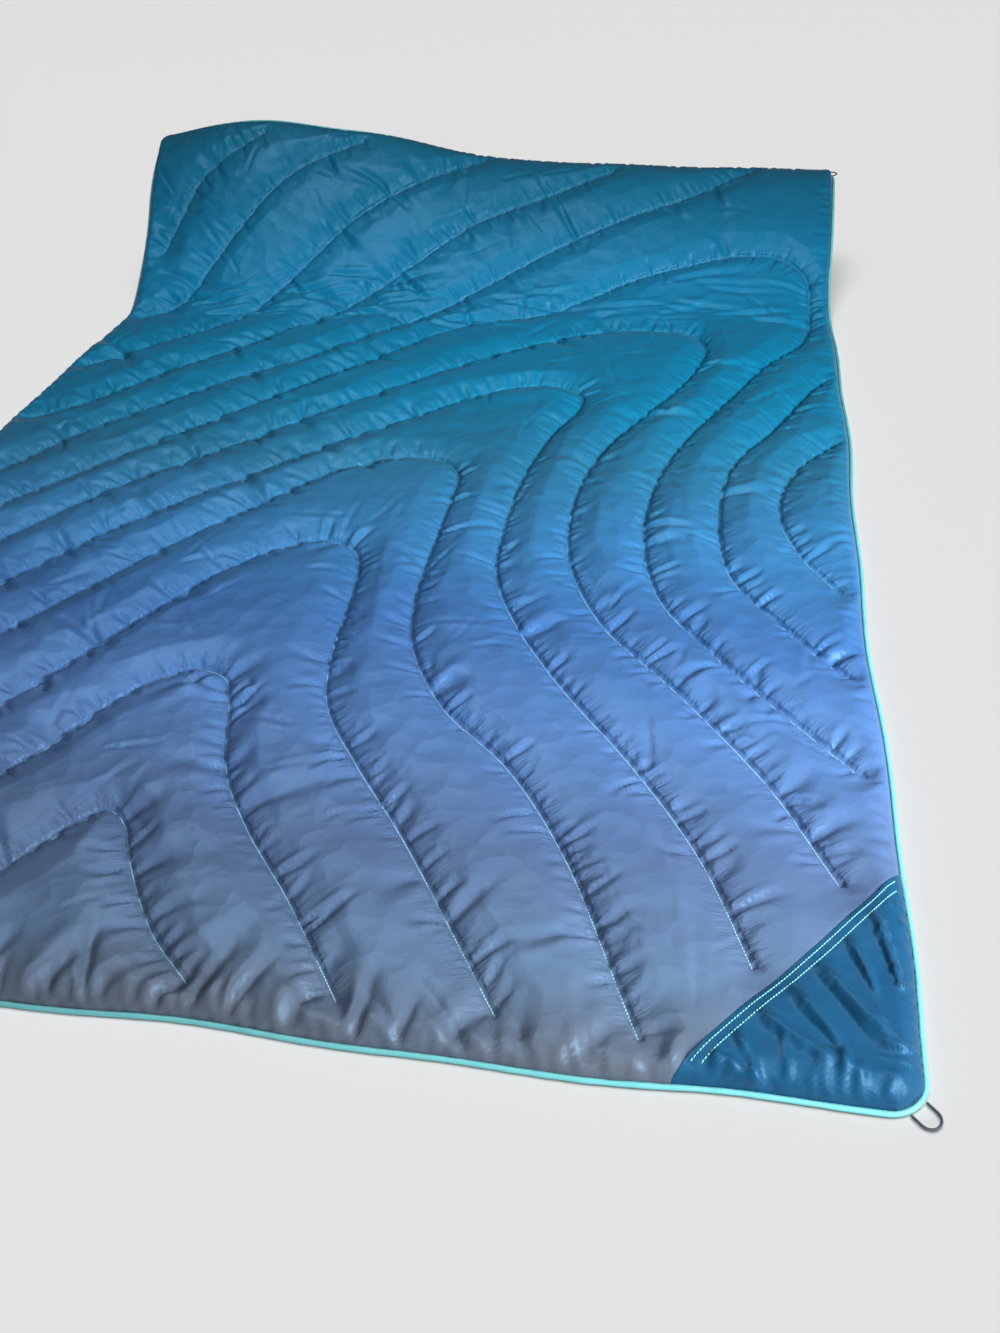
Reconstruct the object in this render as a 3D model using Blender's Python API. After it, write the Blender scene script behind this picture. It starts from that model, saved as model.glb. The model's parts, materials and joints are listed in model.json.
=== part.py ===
"""A quilted camp blanket: two fabric shells sewn over batting, piped all round, with its head end raised.

Metres, +Z up. X runs across the blanket and +Y from its foot to its head. The origin is under the middle of the
whole object, on the surface that it lies on. A place on the cloth is (x, along): x across, and along measured on
the cloth from the foot seam, so that it follows the rise at the head end.
"""
import math

import bmesh
import bpy
import numpy as np

# ---------------------------------------------------------------- driving dimensions
WIDTH = 1.32  # seam to seam across
LENGTH = 1.905  # seam to seam along, measured on the cloth
CORNER_RADIUS = 0.030
LOFT = 0.014  # thickness over the filled channels, both fabrics included
EDGE_LOFT = 0.003  # thickness at the seam, where there is no filling
EDGE_TAPER = 0.035  # full loft is reached this far in from the seam
FABRIC = 0.0006
CLEARANCE = 0.0003  # kept between pieces that touch
FILL_INSET = 0.012  # the batting stops this far short of the seam
SEAM_INSET = 0.006  # the closing seam's thread runs this far in
SEAM_THREAD_RADIUS = 0.0005
PIPING_RADIUS = 0.0025
THREAD_RADIUS = 0.0006
THREAD_LIFT = 0.0007  # between a sewn thread and the cloth under it
PATCH_FOOT = 0.193  # the corner patch's leg along the foot seam
PATCH_SIDE = 0.235  # its leg along the side seam
PATCH_ROWS = (0.004, 0.011)  # its two rows of topstitching, in from its slanted edge
PATCH_ROW_END = 0.010  # each row stops this far short of the seams
LOOP_CORD_RADIUS = 0.0011
LOOP_REACH = 0.018  # how far a loop stands out from its hinge line
LOOP_ANGLE = math.radians(14)  # half the angle between its two roots, seen from the corner's centre

# The head end lies as it would over pillows: how high its edge is at each place across, as a share of half the width.
RAISED_CLOTH = 0.435  # the length of cloth that the rise takes up
RAISE_START = LENGTH - RAISED_CLOTH
RAISE_RUN = 0.40  # how far the rise would go on the ground to reach its full height
HEAD_HEIGHTS = ((-1.0, 0.255), (-0.70, 0.305), (-0.41, 0.275), (0.0, 0.190), (0.40, 0.172), (1.0, 0.155))

# Facet sizes of the plain solids.
COLUMN = 0.095
FLAT_ROW = 0.36
RAISED_ROW = 0.024
STITCH_TURN = math.radians(13)
STITCH_STEP = 0.060

# The quilting lines, as places on the cloth that each row of stitching is sewn through.
QUILTING = (
    ((-0.270, 0.030), (-0.184, 0.134), (-0.140, 0.200), (-0.110, 0.225), (-0.085, 0.205), (-0.066, 0.170),
     (-0.006, 0.084), (0.050, 0.030)),
    ((-0.400, 0.030), (-0.320, 0.160), (-0.249, 0.263), (-0.156, 0.420), (-0.105, 0.455), (-0.070, 0.445),
     (-0.050, 0.405), (-0.010, 0.291), (0.037, 0.220), (0.109, 0.134), (0.183, 0.037)),
    ((-0.520, 0.030), (-0.420, 0.190), (-0.306, 0.377), (-0.199, 0.570), (-0.149, 0.656), (-0.085, 0.722),
     (-0.030, 0.740), (0.010, 0.720), (0.032, 0.650), (0.044, 0.491), (0.066, 0.406), (0.123, 0.320),
     (0.194, 0.227), (0.320, 0.041)),
    ((-0.628, 0.080), (-0.500, 0.300), (-0.384, 0.491), (-0.227, 0.734), (-0.149, 0.834), (-0.077, 0.920),
     (0.000, 0.965), (0.070, 0.970), (0.106, 0.935), (0.113, 0.800), (0.118, 0.610), (0.137, 0.520),
     (0.194, 0.420), (0.280, 0.334), (0.351, 0.227), (0.440, 0.034)),
    ((-0.630, 0.290), (-0.540, 0.440), (-0.441, 0.599), (-0.334, 0.749), (-0.120, 0.991), (-0.006, 1.099),
     (0.080, 1.177), (0.150, 1.217), (0.215, 1.225), (0.256, 1.195), (0.258, 1.140), (0.230, 1.063),
     (0.205, 0.930), (0.199, 0.800), (0.209, 0.677), (0.251, 0.577), (0.323, 0.463), (0.409, 0.349),
     (0.480, 0.234), (0.528, 0.115)),
    ((-0.630, 0.495), (-0.499, 0.691), (-0.391, 0.849), (-0.249, 1.006), (-0.106, 1.156), (0.023, 1.284),
     (0.137, 1.377), (0.240, 1.440), (0.340, 1.458), (0.420, 1.440), (0.448, 1.385), (0.425, 1.273),
     (0.366, 1.140), (0.309, 1.006), (0.285, 0.863), (0.297, 0.720), (0.351, 0.591), (0.448, 0.472),
     (0.548, 0.330), (0.606, 0.215)),
    ((-0.630, 0.670), (-0.551, 0.784), (-0.434, 0.934), (-0.200, 1.223), (-0.117, 1.323), (-0.050, 1.410),
     (0.050, 1.482), (0.133, 1.507), (0.217, 1.553), (0.300, 1.603), (0.400, 1.642), (0.500, 1.668),
     (0.575, 1.660), (0.618, 1.620), (0.627, 1.540), (0.608, 1.423), (0.550, 1.332), (0.494, 1.206),
     (0.437, 1.077), (0.398, 0.949), (0.387, 0.791), (0.416, 0.649), (0.494, 0.534), (0.573, 0.434),
     (0.635, 0.360)),
    ((0.635, 1.270), (0.609, 1.220), (0.551, 1.091), (0.501, 0.991), (0.484, 0.849), (0.501, 0.706),
     (0.566, 0.606), (0.635, 0.515)),
    ((0.635, 1.053), (0.587, 0.977), (0.564, 0.860), (0.587, 0.763), (0.635, 0.680)),
    ((0.508, 1.880), (0.400, 1.807), (0.300, 1.757), (0.133, 1.661), (0.017, 1.573), (-0.117, 1.457),
     (-0.183, 1.390), (-0.250, 1.307), (-0.342, 1.232), (-0.450, 1.098), (-0.517, 1.015), (-0.591, 0.906),
     (-0.630, 0.850)),
    ((0.245, 1.865), (0.133, 1.798), (0.000, 1.728), (-0.117, 1.623), (-0.233, 1.515), (-0.292, 1.457),
     (-0.367, 1.365), (-0.467, 1.257), (-0.558, 1.123), (-0.630, 1.060)),
    ((-0.008, 1.880), (-0.117, 1.807), (-0.242, 1.707), (-0.300, 1.640), (-0.383, 1.540), (-0.458, 1.448),
     (-0.540, 1.357), (-0.592, 1.290), (-0.630, 1.255)),
    ((-0.235, 1.880), (-0.333, 1.823), (-0.383, 1.782), (-0.433, 1.723), (-0.475, 1.665), (-0.517, 1.598),
     (-0.558, 1.528), (-0.630, 1.475)),
    ((-0.425, 1.880), (-0.500, 1.828), (-0.550, 1.782), (-0.592, 1.698), (-0.618, 1.640)),
)
DRAWN_WIDTH, DRAWN_LENGTH = 1.32, 1.905  # the blanket that the quilting lines are laid out for


# ---------------------------------------------------------------- the cloth's shape
def smooth(t):
    t = np.clip(t, 0.0, 1.0)
    return t * t * (3 - 2 * t)


def loft_at(inset):
    """Thickness at a distance in from the seam."""
    return EDGE_LOFT + (LOFT - EDGE_LOFT) * smooth(inset / EDGE_TAPER)


def half_width(along):
    """Half the width at a place along, less at the rounded corners."""
    from_end = min(along, LENGTH - along)
    corner = max(CORNER_RADIUS - max(from_end, 0.0), 0.0)
    return WIDTH / 2 - CORNER_RADIUS + math.sqrt(CORNER_RADIUS**2 - corner**2)


def head_height(share):
    """Height of the head edge at a share of half the width, on a smooth curve through HEAD_HEIGHTS."""
    xs, hs = np.array(HEAD_HEIGHTS).T
    slopes = np.gradient(hs, xs)
    share = float(np.clip(share, xs[0], xs[-1]))
    i = min(int(np.searchsorted(xs, share, "right")) - 1, len(xs) - 2)
    run = xs[i + 1] - xs[i]
    t = (share - xs[i]) / run
    start = (1 + 2 * t) * (1 - t) ** 2 * hs[i] + t * (1 - t) ** 2 * run * slopes[i]
    end = t * t * (3 - 2 * t) * hs[i + 1] + t * t * (t - 1) * run * slopes[i + 1]
    return start + end


def underside(x, along):
    """The point under the cloth: flat on the ground, then up the rise, with along measured on the curve."""
    ys = np.linspace(RAISE_START, RAISE_START + RAISE_RUN * 1.3, 200)
    zs = head_height(x / (WIDTH / 2)) * smooth((ys - RAISE_START) / RAISE_RUN)
    run = RAISE_START + np.concatenate([[0], np.cumsum(np.hypot(np.diff(ys), np.diff(zs)))])
    if along <= RAISE_START:
        return np.array([x, along, 0.0])
    return np.array([x, np.interp(along, run, ys), np.interp(along, run, zs)])


def normal(x, along, step=1e-3):
    """The way up from the cloth, at a right angle to it."""
    across = underside(x + step, along) - underside(x - step, along)
    ahead = underside(x, along + step) - underside(x, along - step)
    up = np.cross(across, ahead)
    return up / np.linalg.norm(up)


def grid_shares():
    """The columns, as shares of half the width: close together by the seams, where the loft tapers."""
    tapers = (0.0, 0.008, FILL_INSET, 0.022, EDGE_TAPER)
    edge = [1 - d / (WIDTH / 2) for d in tapers]
    count = round(2 * edge[-1] * WIDTH / 2 / COLUMN)
    inner = np.linspace(-edge[-1], edge[-1], count + 1)[1:-1]
    return np.array([-e for e in edge] + list(inner) + edge[::-1])


def grid_alongs():
    """The rows: the arc of the rounded corner, then the taper, the flat part and the rise."""
    arc = [CORNER_RADIUS * (1 - math.cos(k * math.pi / 8)) for k in range(4)]
    end = sorted({*arc, FILL_INSET, CORNER_RADIUS, EDGE_TAPER})
    start = RAISE_START - RAISED_ROW / 2
    flats = round((start - EDGE_TAPER) / FLAT_ROW)
    flat = np.linspace(EDGE_TAPER, start, flats + 1)[1:]
    rises = math.ceil((LENGTH - EDGE_TAPER - start) / RAISED_ROW)
    rise = np.linspace(start, LENGTH - EDGE_TAPER, rises + 1)[1:-1]
    return np.array([*end, *flat, *rise, *[LENGTH - e for e in end[::-1]]])


SHARES = grid_shares()
ALONGS = grid_alongs()
WIDE = [half_width(a) for a in ALONGS]
UNDER = np.array([[underside(s * w, a) for s in SHARES] for a, w in zip(ALONGS, WIDE)])
INSETS = np.array([[min((1 - abs(s)) * w, a, LENGTH - a) for s in SHARES] for a, w in zip(ALONGS, WIDE)])
NORMALS = np.array([[normal(s * w, a) for s in SHARES] for a, w in zip(ALONGS, WIDE)])


def raised(heights):
    """The grid's points at these heights over the underside."""
    return UNDER + NORMALS * np.asarray(heights)[..., None]


TOP = loft_at(INSETS)
UNDER_FACE = TOP - FABRIC
OVER_BACK = np.full(TOP.shape, FABRIC)


def on_facets(points, x, along):
    """The point of a faceted sheet over a place on the cloth."""
    share = x / half_width(along)
    j = min(max(int(np.searchsorted(SHARES, share, "right")) - 1, 0), len(SHARES) - 2)
    i = min(max(int(np.searchsorted(ALONGS, along, "right")) - 1, 0), len(ALONGS) - 2)
    u = (share - SHARES[j]) / (SHARES[j + 1] - SHARES[j])
    v = (along - ALONGS[i]) / (ALONGS[i + 1] - ALONGS[i])
    a, b, c, d = points[i, j], points[i, j + 1], points[i + 1, j + 1], points[i + 1, j]
    if u > v:
        return a + u * (b - a) + v * (c - b)
    return a + v * (d - a) + u * (c - d)


# ---------------------------------------------------------------- making objects
blanket = bpy.data.objects.new("blanket_frame", None)


def clear_scene():
    for obj in list(bpy.data.objects):
        if obj != blanket:
            bpy.data.objects.remove(obj, do_unlink=True)
    bpy.context.scene.collection.objects.link(blanket)


def material(name, colour, roughness):
    made = bpy.data.materials.new(name)
    made.use_nodes = True
    shader = made.node_tree.nodes["Principled BSDF"]
    shader.inputs["Base Color"].default_value = (*colour, 1.0)
    shader.inputs["Roughness"].default_value = roughness
    shader.inputs["Metallic"].default_value = 0.0
    return made


def add_object(name, data, finish, at=(0, 0, 0)):
    obj = bpy.data.objects.new(name, data)
    obj.location = at
    obj.parent = blanket
    data.materials.append(finish)
    bpy.context.scene.collection.objects.link(obj)
    return obj


def sheet(name, finish, low, high, rows, columns, cut=None):
    """A closed sheet between two grids of points, over these rows and columns, cut by a plane if one is given."""
    low, high = low[rows, columns], high[rows, columns]
    deep, wide = low.shape[:2]
    points = np.concatenate([low.reshape(-1, 3), high.reshape(-1, 3)])

    def corner(i, j, over):
        return over * deep * wide + i * wide + j

    faces = []
    for i in range(deep - 1):
        for j in range(wide - 1):
            a, b, c, d = (corner(i + p, j + q, 1) for p, q in ((0, 0), (0, 1), (1, 1), (1, 0)))
            faces += [(a, b, c), (a, c, d)]
            a, b, c, d = (corner(i + p, j + q, 0) for p, q in ((0, 0), (0, 1), (1, 1), (1, 0)))
            faces += [(a, c, b), (a, d, c)]
    rim = [(0, j) for j in range(wide)] + [(i, wide - 1) for i in range(1, deep)]
    rim += [(deep - 1, j) for j in range(wide - 2, -1, -1)] + [(i, 0) for i in range(deep - 2, 0, -1)]
    for here, there in zip(rim, rim[1:] + rim[:1]):
        faces.append((corner(*here, 0), corner(*there, 0), corner(*there, 1), corner(*here, 1)))
    mesh = bpy.data.meshes.new(name)
    mesh.from_pydata(points.tolist(), [], faces)
    if cut:
        keep_one_side(mesh, *cut)
    return add_object(name, mesh, finish)


def keep_one_side(mesh, point, outward):
    """Cuts a mesh by a plane, drops what lies outward of it and closes the cut."""
    shape = bmesh.new()
    shape.from_mesh(mesh)
    everything = shape.verts[:] + shape.edges[:] + shape.faces[:]
    bmesh.ops.bisect_plane(shape, geom=everything, plane_co=point, plane_no=outward, clear_outer=True)
    bmesh.ops.holes_fill(shape, edges=[e for e in shape.edges if e.is_boundary])
    bmesh.ops.recalc_face_normals(shape, faces=shape.faces)
    shape.to_mesh(mesh)
    shape.free()


def tube(name, finish, points, radius, sides=4, closed=False, ends=(), at=(0, 0, 0)):
    """A round tube along points. ends lists how the radius shrinks towards each end."""
    curve = bpy.data.curves.new(name, "CURVE")
    curve.dimensions = "3D"
    curve.bevel_depth = radius
    curve.bevel_resolution = sides // 2 - 2
    curve.use_fill_caps = True
    spline = curve.splines.new("POLY")
    spline.points.add(len(points) - 1)
    for made, point in zip(spline.points, points):
        made.co = (*(np.asarray(point) - at), 1.0)
    for k, share in enumerate(ends):
        spline.points[k].radius = share
        spline.points[-1 - k].radius = share
    spline.use_cyclic_u = closed
    return add_object(name, curve, finish, at)


# ---------------------------------------------------------------- lines on the cloth
def through(points, per_span=14):
    """A smooth curve through points, as many close points (centripetal Catmull-Rom)."""
    p = np.asarray(points, float)
    p = np.vstack([2 * p[0] - p[1], p, 2 * p[-1] - p[-2]])
    found = []
    for k in range(1, len(p) - 2):
        p0, p1, p2, p3 = p[k - 1 : k + 3]
        t1 = np.linalg.norm(p1 - p0) ** 0.5
        t2 = t1 + np.linalg.norm(p2 - p1) ** 0.5
        t3 = t2 + np.linalg.norm(p3 - p2) ** 0.5
        t = np.linspace(t1, t2, per_span, endpoint=False)[:, None]
        a1 = (t1 - t) / t1 * p0 + t / t1 * p1
        a2 = (t2 - t) / (t2 - t1) * p1 + (t - t1) / (t2 - t1) * p2
        a3 = (t3 - t) / (t3 - t2) * p2 + (t - t2) / (t3 - t2) * p3
        b1 = (t2 - t) / t2 * a1 + t / t2 * a2
        b2 = (t3 - t) / (t3 - t1) * a2 + (t - t1) / (t3 - t1) * a3
        found.append((t2 - t) / (t2 - t1) * b1 + (t - t1) / (t2 - t1) * b2)
    return np.vstack([*found, p[-2:-1]])


def crossings(a, b):
    """Where a short step on the cloth crosses the grid's rows, or its columns where the cloth isn't flat."""
    found = [(row - a[1]) / (b[1] - a[1]) for row in ALONGS if (row - a[1]) * (row - b[1]) < 0]
    for share in SHARES:
        here, there = (p[0] - share * half_width(p[1]) for p in (a, b))
        if here * there < 0:
            found.append(here / (here - there))
    return [a + t * (b - a) for t in sorted(found)]


def is_bent(place):
    x, along = place
    inset = min(half_width(along) - abs(x), along, LENGTH - along)
    return along > RAISE_START - RAISED_ROW or inset < EDGE_TAPER


def thinned(line):
    """The points of a close line that its shape needs, with those where it crosses a fold between facets."""
    kept = [line[0]]
    before = None
    for a, b in zip(line, line[1:]):
        turn = 0.0
        step = a - kept[-1]
        if before is not None and np.linalg.norm(step) > 0:
            ahead = b - a
            cosine = step @ ahead / (np.linalg.norm(step) * np.linalg.norm(ahead))
            turn = math.acos(np.clip(cosine, -1, 1))
        if turn > STITCH_TURN or np.linalg.norm(step) > STITCH_STEP:
            kept.append(a)
        if is_bent(a) or is_bent(b):
            kept += crossings(a, b)
        before = a
    return [*kept, line[-1]]


def over_cloth(line, height):
    """A line on the cloth as points this far above its faceted top."""
    top = raised(TOP + height)
    return [on_facets(top, *place) for place in thinned(line)]


def inside_seam(inset):
    """A closed line on the cloth, this far in from the seam all round, as close points."""
    radius = CORNER_RADIUS - inset
    corners = ((1, 0), (1, LENGTH), (-1, LENGTH), (-1, 0))
    line = []
    for k, (side, end) in enumerate(corners):
        centre = np.array([side * (WIDTH / 2 - CORNER_RADIUS), abs(end - CORNER_RADIUS)])
        turns = np.radians(np.linspace(-90, 0, 7) + 90 * k)
        line += [centre + radius * np.array([math.cos(t), math.sin(t)]) for t in turns]
    close = []
    for a, b in zip(line, line[1:] + line[:1]):
        count = max(2, math.ceil(np.linalg.norm(b - a) / STITCH_STEP))
        close += list(np.linspace(a, b, count)[:-1])
    return close


def outside_seam(outward_by, up_by):
    """The seam's line moved outward and up, without the points that lie on a straight stretch."""
    rows, columns = len(ALONGS), len(SHARES)
    rim = [(0, j) for j in range(columns)] + [(i, columns - 1) for i in range(1, rows)]
    rim += [(rows - 1, j) for j in range(columns - 2, -1, -1)] + [(i, 0) for i in range(rows - 2, 0, -1)]
    points = np.array([UNDER[at] for at in rim])
    up = np.array([NORMALS[at] for at in rim])
    ahead = directions(points)
    outward = np.cross(ahead + np.roll(ahead, 1, axis=0), up)
    outward /= np.linalg.norm(outward, axis=1, keepdims=True)
    line = points + outward * outward_by + up * up_by
    ahead = directions(line)
    turn = np.einsum("ij,ij->i", ahead, np.roll(ahead, 1, axis=0))
    return line[turn < math.cos(math.radians(0.05))]


def directions(closed_line):
    """The way from each point of a closed line to its next."""
    steps = np.roll(closed_line, -1, axis=0) - closed_line
    return steps / np.linalg.norm(steps, axis=1, keepdims=True)


# ---------------------------------------------------------------- the pieces
def make_shells():
    everything = slice(None)
    back = material("back_fabric", (0.022, 0.055, 0.090), 0.45)
    face = material("face_fabric", (0.020, 0.130, 0.270), 0.35)
    sheet("back_shell", back, raised(0 * TOP), raised(OVER_BACK), everything, everything)
    sheet("face_shell", face, raised(UNDER_FACE), raised(TOP), everything, everything)


def make_insulation():
    """The batting, which stops short of the seam all round."""
    rows = slice(int(np.searchsorted(ALONGS, FILL_INSET - 1e-6)), None)
    rows = slice(rows.start, len(ALONGS) - rows.start)
    start = int(np.searchsorted(SHARES, -1 + (FILL_INSET - 1e-6) / (WIDTH / 2)))
    columns = slice(start, len(SHARES) - start)
    fill = material("batting", (0.80, 0.80, 0.78), 0.9)
    low, high = raised(OVER_BACK + CLEARANCE), raised(UNDER_FACE - CLEARANCE)
    sheet("insulation", fill, low, high, rows, columns)


def make_edges():
    piping = material("piping_fabric", (0.30, 0.66, 0.62), 0.5)
    thread = material("seam_thread", (0.02, 0.05, 0.08), 0.6)
    line = outside_seam(CLEARANCE + PIPING_RADIUS, PIPING_RADIUS)
    tube("edge_piping", piping, line, PIPING_RADIUS, sides=6, closed=True)
    seam = thinned(inside_seam(SEAM_INSET))
    between = raised(TOP / 2)
    points = [on_facets(between, *place) for place in seam]
    tube("closing_seam_thread", thread, points, SEAM_THREAD_RADIUS, closed=True)


def make_quilting():
    thread = material("quilting_thread", (0.13, 0.36, 0.45), 0.6)
    scale = np.array([WIDTH / DRAWN_WIDTH, LENGTH / DRAWN_LENGTH])
    for number, places in enumerate(QUILTING, 1):
        line = through(np.array(places) * scale)
        points = over_cloth(line, THREAD_LIFT + THREAD_RADIUS)
        tube(f"quilt_stitch_{number:02d}", thread, points, THREAD_RADIUS)


def make_patch():
    """The corner patch at the foot's right corner, and the two rows of stitching along its slanted edge."""
    cloth = material("patch_fabric", (0.012, 0.120, 0.270), 0.3)
    thread = material("patch_thread", (0.30, 0.66, 0.62), 0.6)
    on_foot = np.array([WIDTH / 2 - PATCH_FOOT, 0.0])
    on_side = np.array([WIDTH / 2, PATCH_SIDE])
    along = (on_side - on_foot) / np.linalg.norm(on_side - on_foot)
    away = np.array([-along[1], along[0]])
    rows = slice(0, int(np.searchsorted(ALONGS, PATCH_SIDE)) + 2)
    columns = slice(int(np.searchsorted(SHARES, on_foot[0] / (WIDTH / 2))) - 2, None)
    low, high = raised(TOP + CLEARANCE), raised(TOP + CLEARANCE + FABRIC)
    cut = ((*on_foot, 0.0), (*away, 0.0))
    sheet("corner_patch", cloth, low, high, rows, columns, cut)
    for number, inward in enumerate(PATCH_ROWS, 1):
        start = on_foot - away * inward
        start = start + along * (PATCH_ROW_END - start[1]) / along[1]
        end = on_side - away * inward
        end = end + along * (WIDTH / 2 - PATCH_ROW_END - end[0]) / along[0]
        line = np.linspace(start, end, 60)
        height = CLEARANCE + FABRIC + THREAD_LIFT + THREAD_RADIUS
        tube(f"patch_topstitch_{number}", thread, over_cloth(line, height), THREAD_RADIUS)


def make_loop(name, finish, side_sign, at_head):
    """A cord loop sewn into the seam at a corner, and free to turn about the line through its two roots."""
    from_end = CORNER_RADIUS * (1 - math.cos(math.pi / 4))
    along, centre_along = (LENGTH - from_end, LENGTH - CORNER_RADIUS) if at_head else (from_end, CORNER_RADIUS)
    x = side_sign * half_width(along)
    seam = underside(x, along)
    lift = normal(x, along)
    out = seam - underside(side_sign * (WIDTH / 2 - CORNER_RADIUS), centre_along)
    out -= lift * (out @ lift)
    out /= np.linalg.norm(out)
    side = np.cross(out, lift)
    pipe_radius = CORNER_RADIUS + CLEARANCE + PIPING_RADIUS
    root_radius = pipe_radius + PIPING_RADIUS + CLEARANCE + LOOP_CORD_RADIUS
    centre = seam + lift * PIPING_RADIUS - out * CORNER_RADIUS
    middle = centre + out * root_radius * math.cos(LOOP_ANGLE)
    half = root_radius * math.sin(LOOP_ANGLE)
    # The ends are rounded about the hinge line, so that they clear the piping all through the loop's swing.
    rounding = ((-0.95, 0.35), (-0.75, 0.68), (-0.40, 0.93), (0.0, 1.0))
    leg = [(-half, share * LOOP_CORD_RADIUS) for share, _ in rounding]
    bow = LOOP_REACH - half
    turns = [math.pi * (1 - k / 8) for k in range(9)]
    arc = [(half * math.cos(t), bow + half * math.sin(t)) for t in turns]
    flat = [*leg, *arc, *[(-s, o) for s, o in leg[::-1]]]
    path = [middle + side * s + out * o for s, o in flat]
    ends = [share for _, share in rounding]
    loop = tube(name, finish, path, LOOP_CORD_RADIUS, sides=6, ends=ends, at=middle)
    loop["hinge_axis"] = side.tolist()
    loop["loop_out"] = out.tolist()


def make_loops():
    cord = material("loop_cord", (0.020, 0.024, 0.030), 0.6)
    make_loop("corner_loop_foot_right", cord, 1, at_head=False)
    make_loop("corner_loop_foot_left", cord, -1, at_head=False)
    make_loop("corner_loop_head_right", cord, 1, at_head=True)


def centre_object():
    """Moves the parent empty so that the origin is under the middle of the whole object, on its lowest face."""
    bpy.context.view_layer.update()
    graph = bpy.context.evaluated_depsgraph_get()
    corners = []
    for obj in bpy.context.scene.objects:
        if obj.type in ("MESH", "CURVE"):
            found = obj.evaluated_get(graph)
            mesh = found.to_mesh()
            corners += [found.matrix_world @ v.co for v in mesh.vertices]
            found.to_mesh_clear()
    corners = np.array([tuple(c) for c in corners])
    low, high = corners.min(axis=0), corners.max(axis=0)
    blanket.location = (-(low[0] + high[0]) / 2, -(low[1] + high[1]) / 2, -low[2])
    bpy.context.view_layer.update()


clear_scene()
make_shells()
make_insulation()
make_edges()
make_quilting()
make_patch()
make_loops()
centre_object()
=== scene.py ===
# %% [markdown]
# # A quilted camp blanket
# The real blanket is two layers of thin shiny polyester with batting between them. Fourteen wavy rows of stitching
# hold the layers together, a corded piping closes the edge, and a plain patch is sewn over one foot corner.
# It lies flat, and its head end rises as it would over pillows.
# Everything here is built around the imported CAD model, which gives the sizes, the bodies and the hinges.

# %% Load the frame
import json
import math

import bpy
import numpy as np
from mathutils import Matrix, Vector, kdtree


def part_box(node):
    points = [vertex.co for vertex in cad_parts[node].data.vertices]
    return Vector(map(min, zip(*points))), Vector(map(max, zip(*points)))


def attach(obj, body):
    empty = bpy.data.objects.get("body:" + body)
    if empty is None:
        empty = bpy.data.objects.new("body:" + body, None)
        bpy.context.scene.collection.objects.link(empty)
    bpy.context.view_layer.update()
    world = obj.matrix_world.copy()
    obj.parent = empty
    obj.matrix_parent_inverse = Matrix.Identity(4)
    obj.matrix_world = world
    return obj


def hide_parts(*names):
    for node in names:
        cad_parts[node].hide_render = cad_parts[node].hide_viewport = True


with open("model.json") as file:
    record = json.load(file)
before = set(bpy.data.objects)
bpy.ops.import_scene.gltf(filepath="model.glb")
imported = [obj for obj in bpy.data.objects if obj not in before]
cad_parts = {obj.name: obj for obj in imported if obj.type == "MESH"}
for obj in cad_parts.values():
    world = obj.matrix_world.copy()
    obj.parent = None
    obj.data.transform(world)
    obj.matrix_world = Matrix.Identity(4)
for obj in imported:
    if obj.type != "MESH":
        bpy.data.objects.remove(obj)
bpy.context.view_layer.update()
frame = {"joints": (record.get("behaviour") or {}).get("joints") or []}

seam_low, seam_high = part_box("face_shell")

# %% [markdown]
# ## Camera
# The camera comes first, so that every later step can be judged from it. It stands at the right foot corner, looks
# down at 39 degrees and is held a little crooked, as a hand holds it. A lens of 31 mm on a 36 mm frame is a common
# phone's. A camera's own axes are right, up and back, so its turn is a matrix with those three as columns.

# %% Camera
CAMERA_AT = (0.464, -1.4444, 0.829)
LENS, FRAME_WIDTH = 31.06, 36.0
YAW, PITCH, ROLL = (math.radians(a) for a in (-12.28, 38.57, -3.89))
ahead = np.array([math.sin(YAW) * math.cos(PITCH), math.cos(YAW) * math.cos(PITCH), -math.sin(PITCH)])
level = np.array([math.cos(YAW), -math.sin(YAW), 0.0])
upright = np.cross(level, ahead)
right = math.cos(ROLL) * level + math.sin(ROLL) * upright
up = -math.sin(ROLL) * level + math.cos(ROLL) * upright

camera = bpy.data.objects.new("camera", bpy.data.cameras.new("camera"))
bpy.context.scene.collection.objects.link(camera)
camera.data.lens, camera.data.sensor_width = LENS, FRAME_WIDTH
turn = Matrix([right, up, -ahead]).transposed().to_4x4()
camera.matrix_world = Matrix.Translation(CAMERA_AT) @ turn
bpy.context.scene.camera = camera

# %% [markdown]
# ## Finishes
# Every colour is written as the sRGB hex value that a paint chart would give, and one function turns it to the
# linear values that shaders want. One more function adds a node with its settings and its links, which keeps each
# material readable as a short list.

# %% Colours and nodes


def linear(code):
    """An sRGB hex colour, such as 2e6a9e, as linear red, green, blue and full opacity."""
    shares = [int(code[k : k + 2], 16) / 255 for k in (0, 2, 4)]
    return (*[s / 12.92 if s <= 0.04045 else ((s + 0.055) / 1.055) ** 2.4 for s in shares], 1.0)


def add_node(tree, kind, settings=None, **inputs):
    """Adds a node. settings are its properties, or a colour ramp's stops; inputs are values, or sockets to link."""
    made = tree.nodes.new("ShaderNode" + kind)
    for key, value in (settings or {}).items():
        if key == "stops":
            first, *between, last = value
            ramp = made.color_ramp.elements
            ramp[0].position, ramp[0].color = first[0], linear(first[1])
            ramp[1].position, ramp[1].color = last[0], linear(last[1])
            for position, code in between:
                ramp.new(position).color = linear(code)
        else:
            setattr(made, key, value)
    for key, value in inputs.items():
        name = int(key[1:]) if key[0] == "_" else key.replace("_", " ")
        if isinstance(value, bpy.types.NodeSocket):
            tree.links.new(value, made.inputs[name])
        else:
            made.inputs[name].default_value = value
    return made


def new_material(name):
    made = bpy.data.materials.new(name)
    made.use_nodes = True
    made.node_tree.nodes.clear()
    return made, made.node_tree


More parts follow.
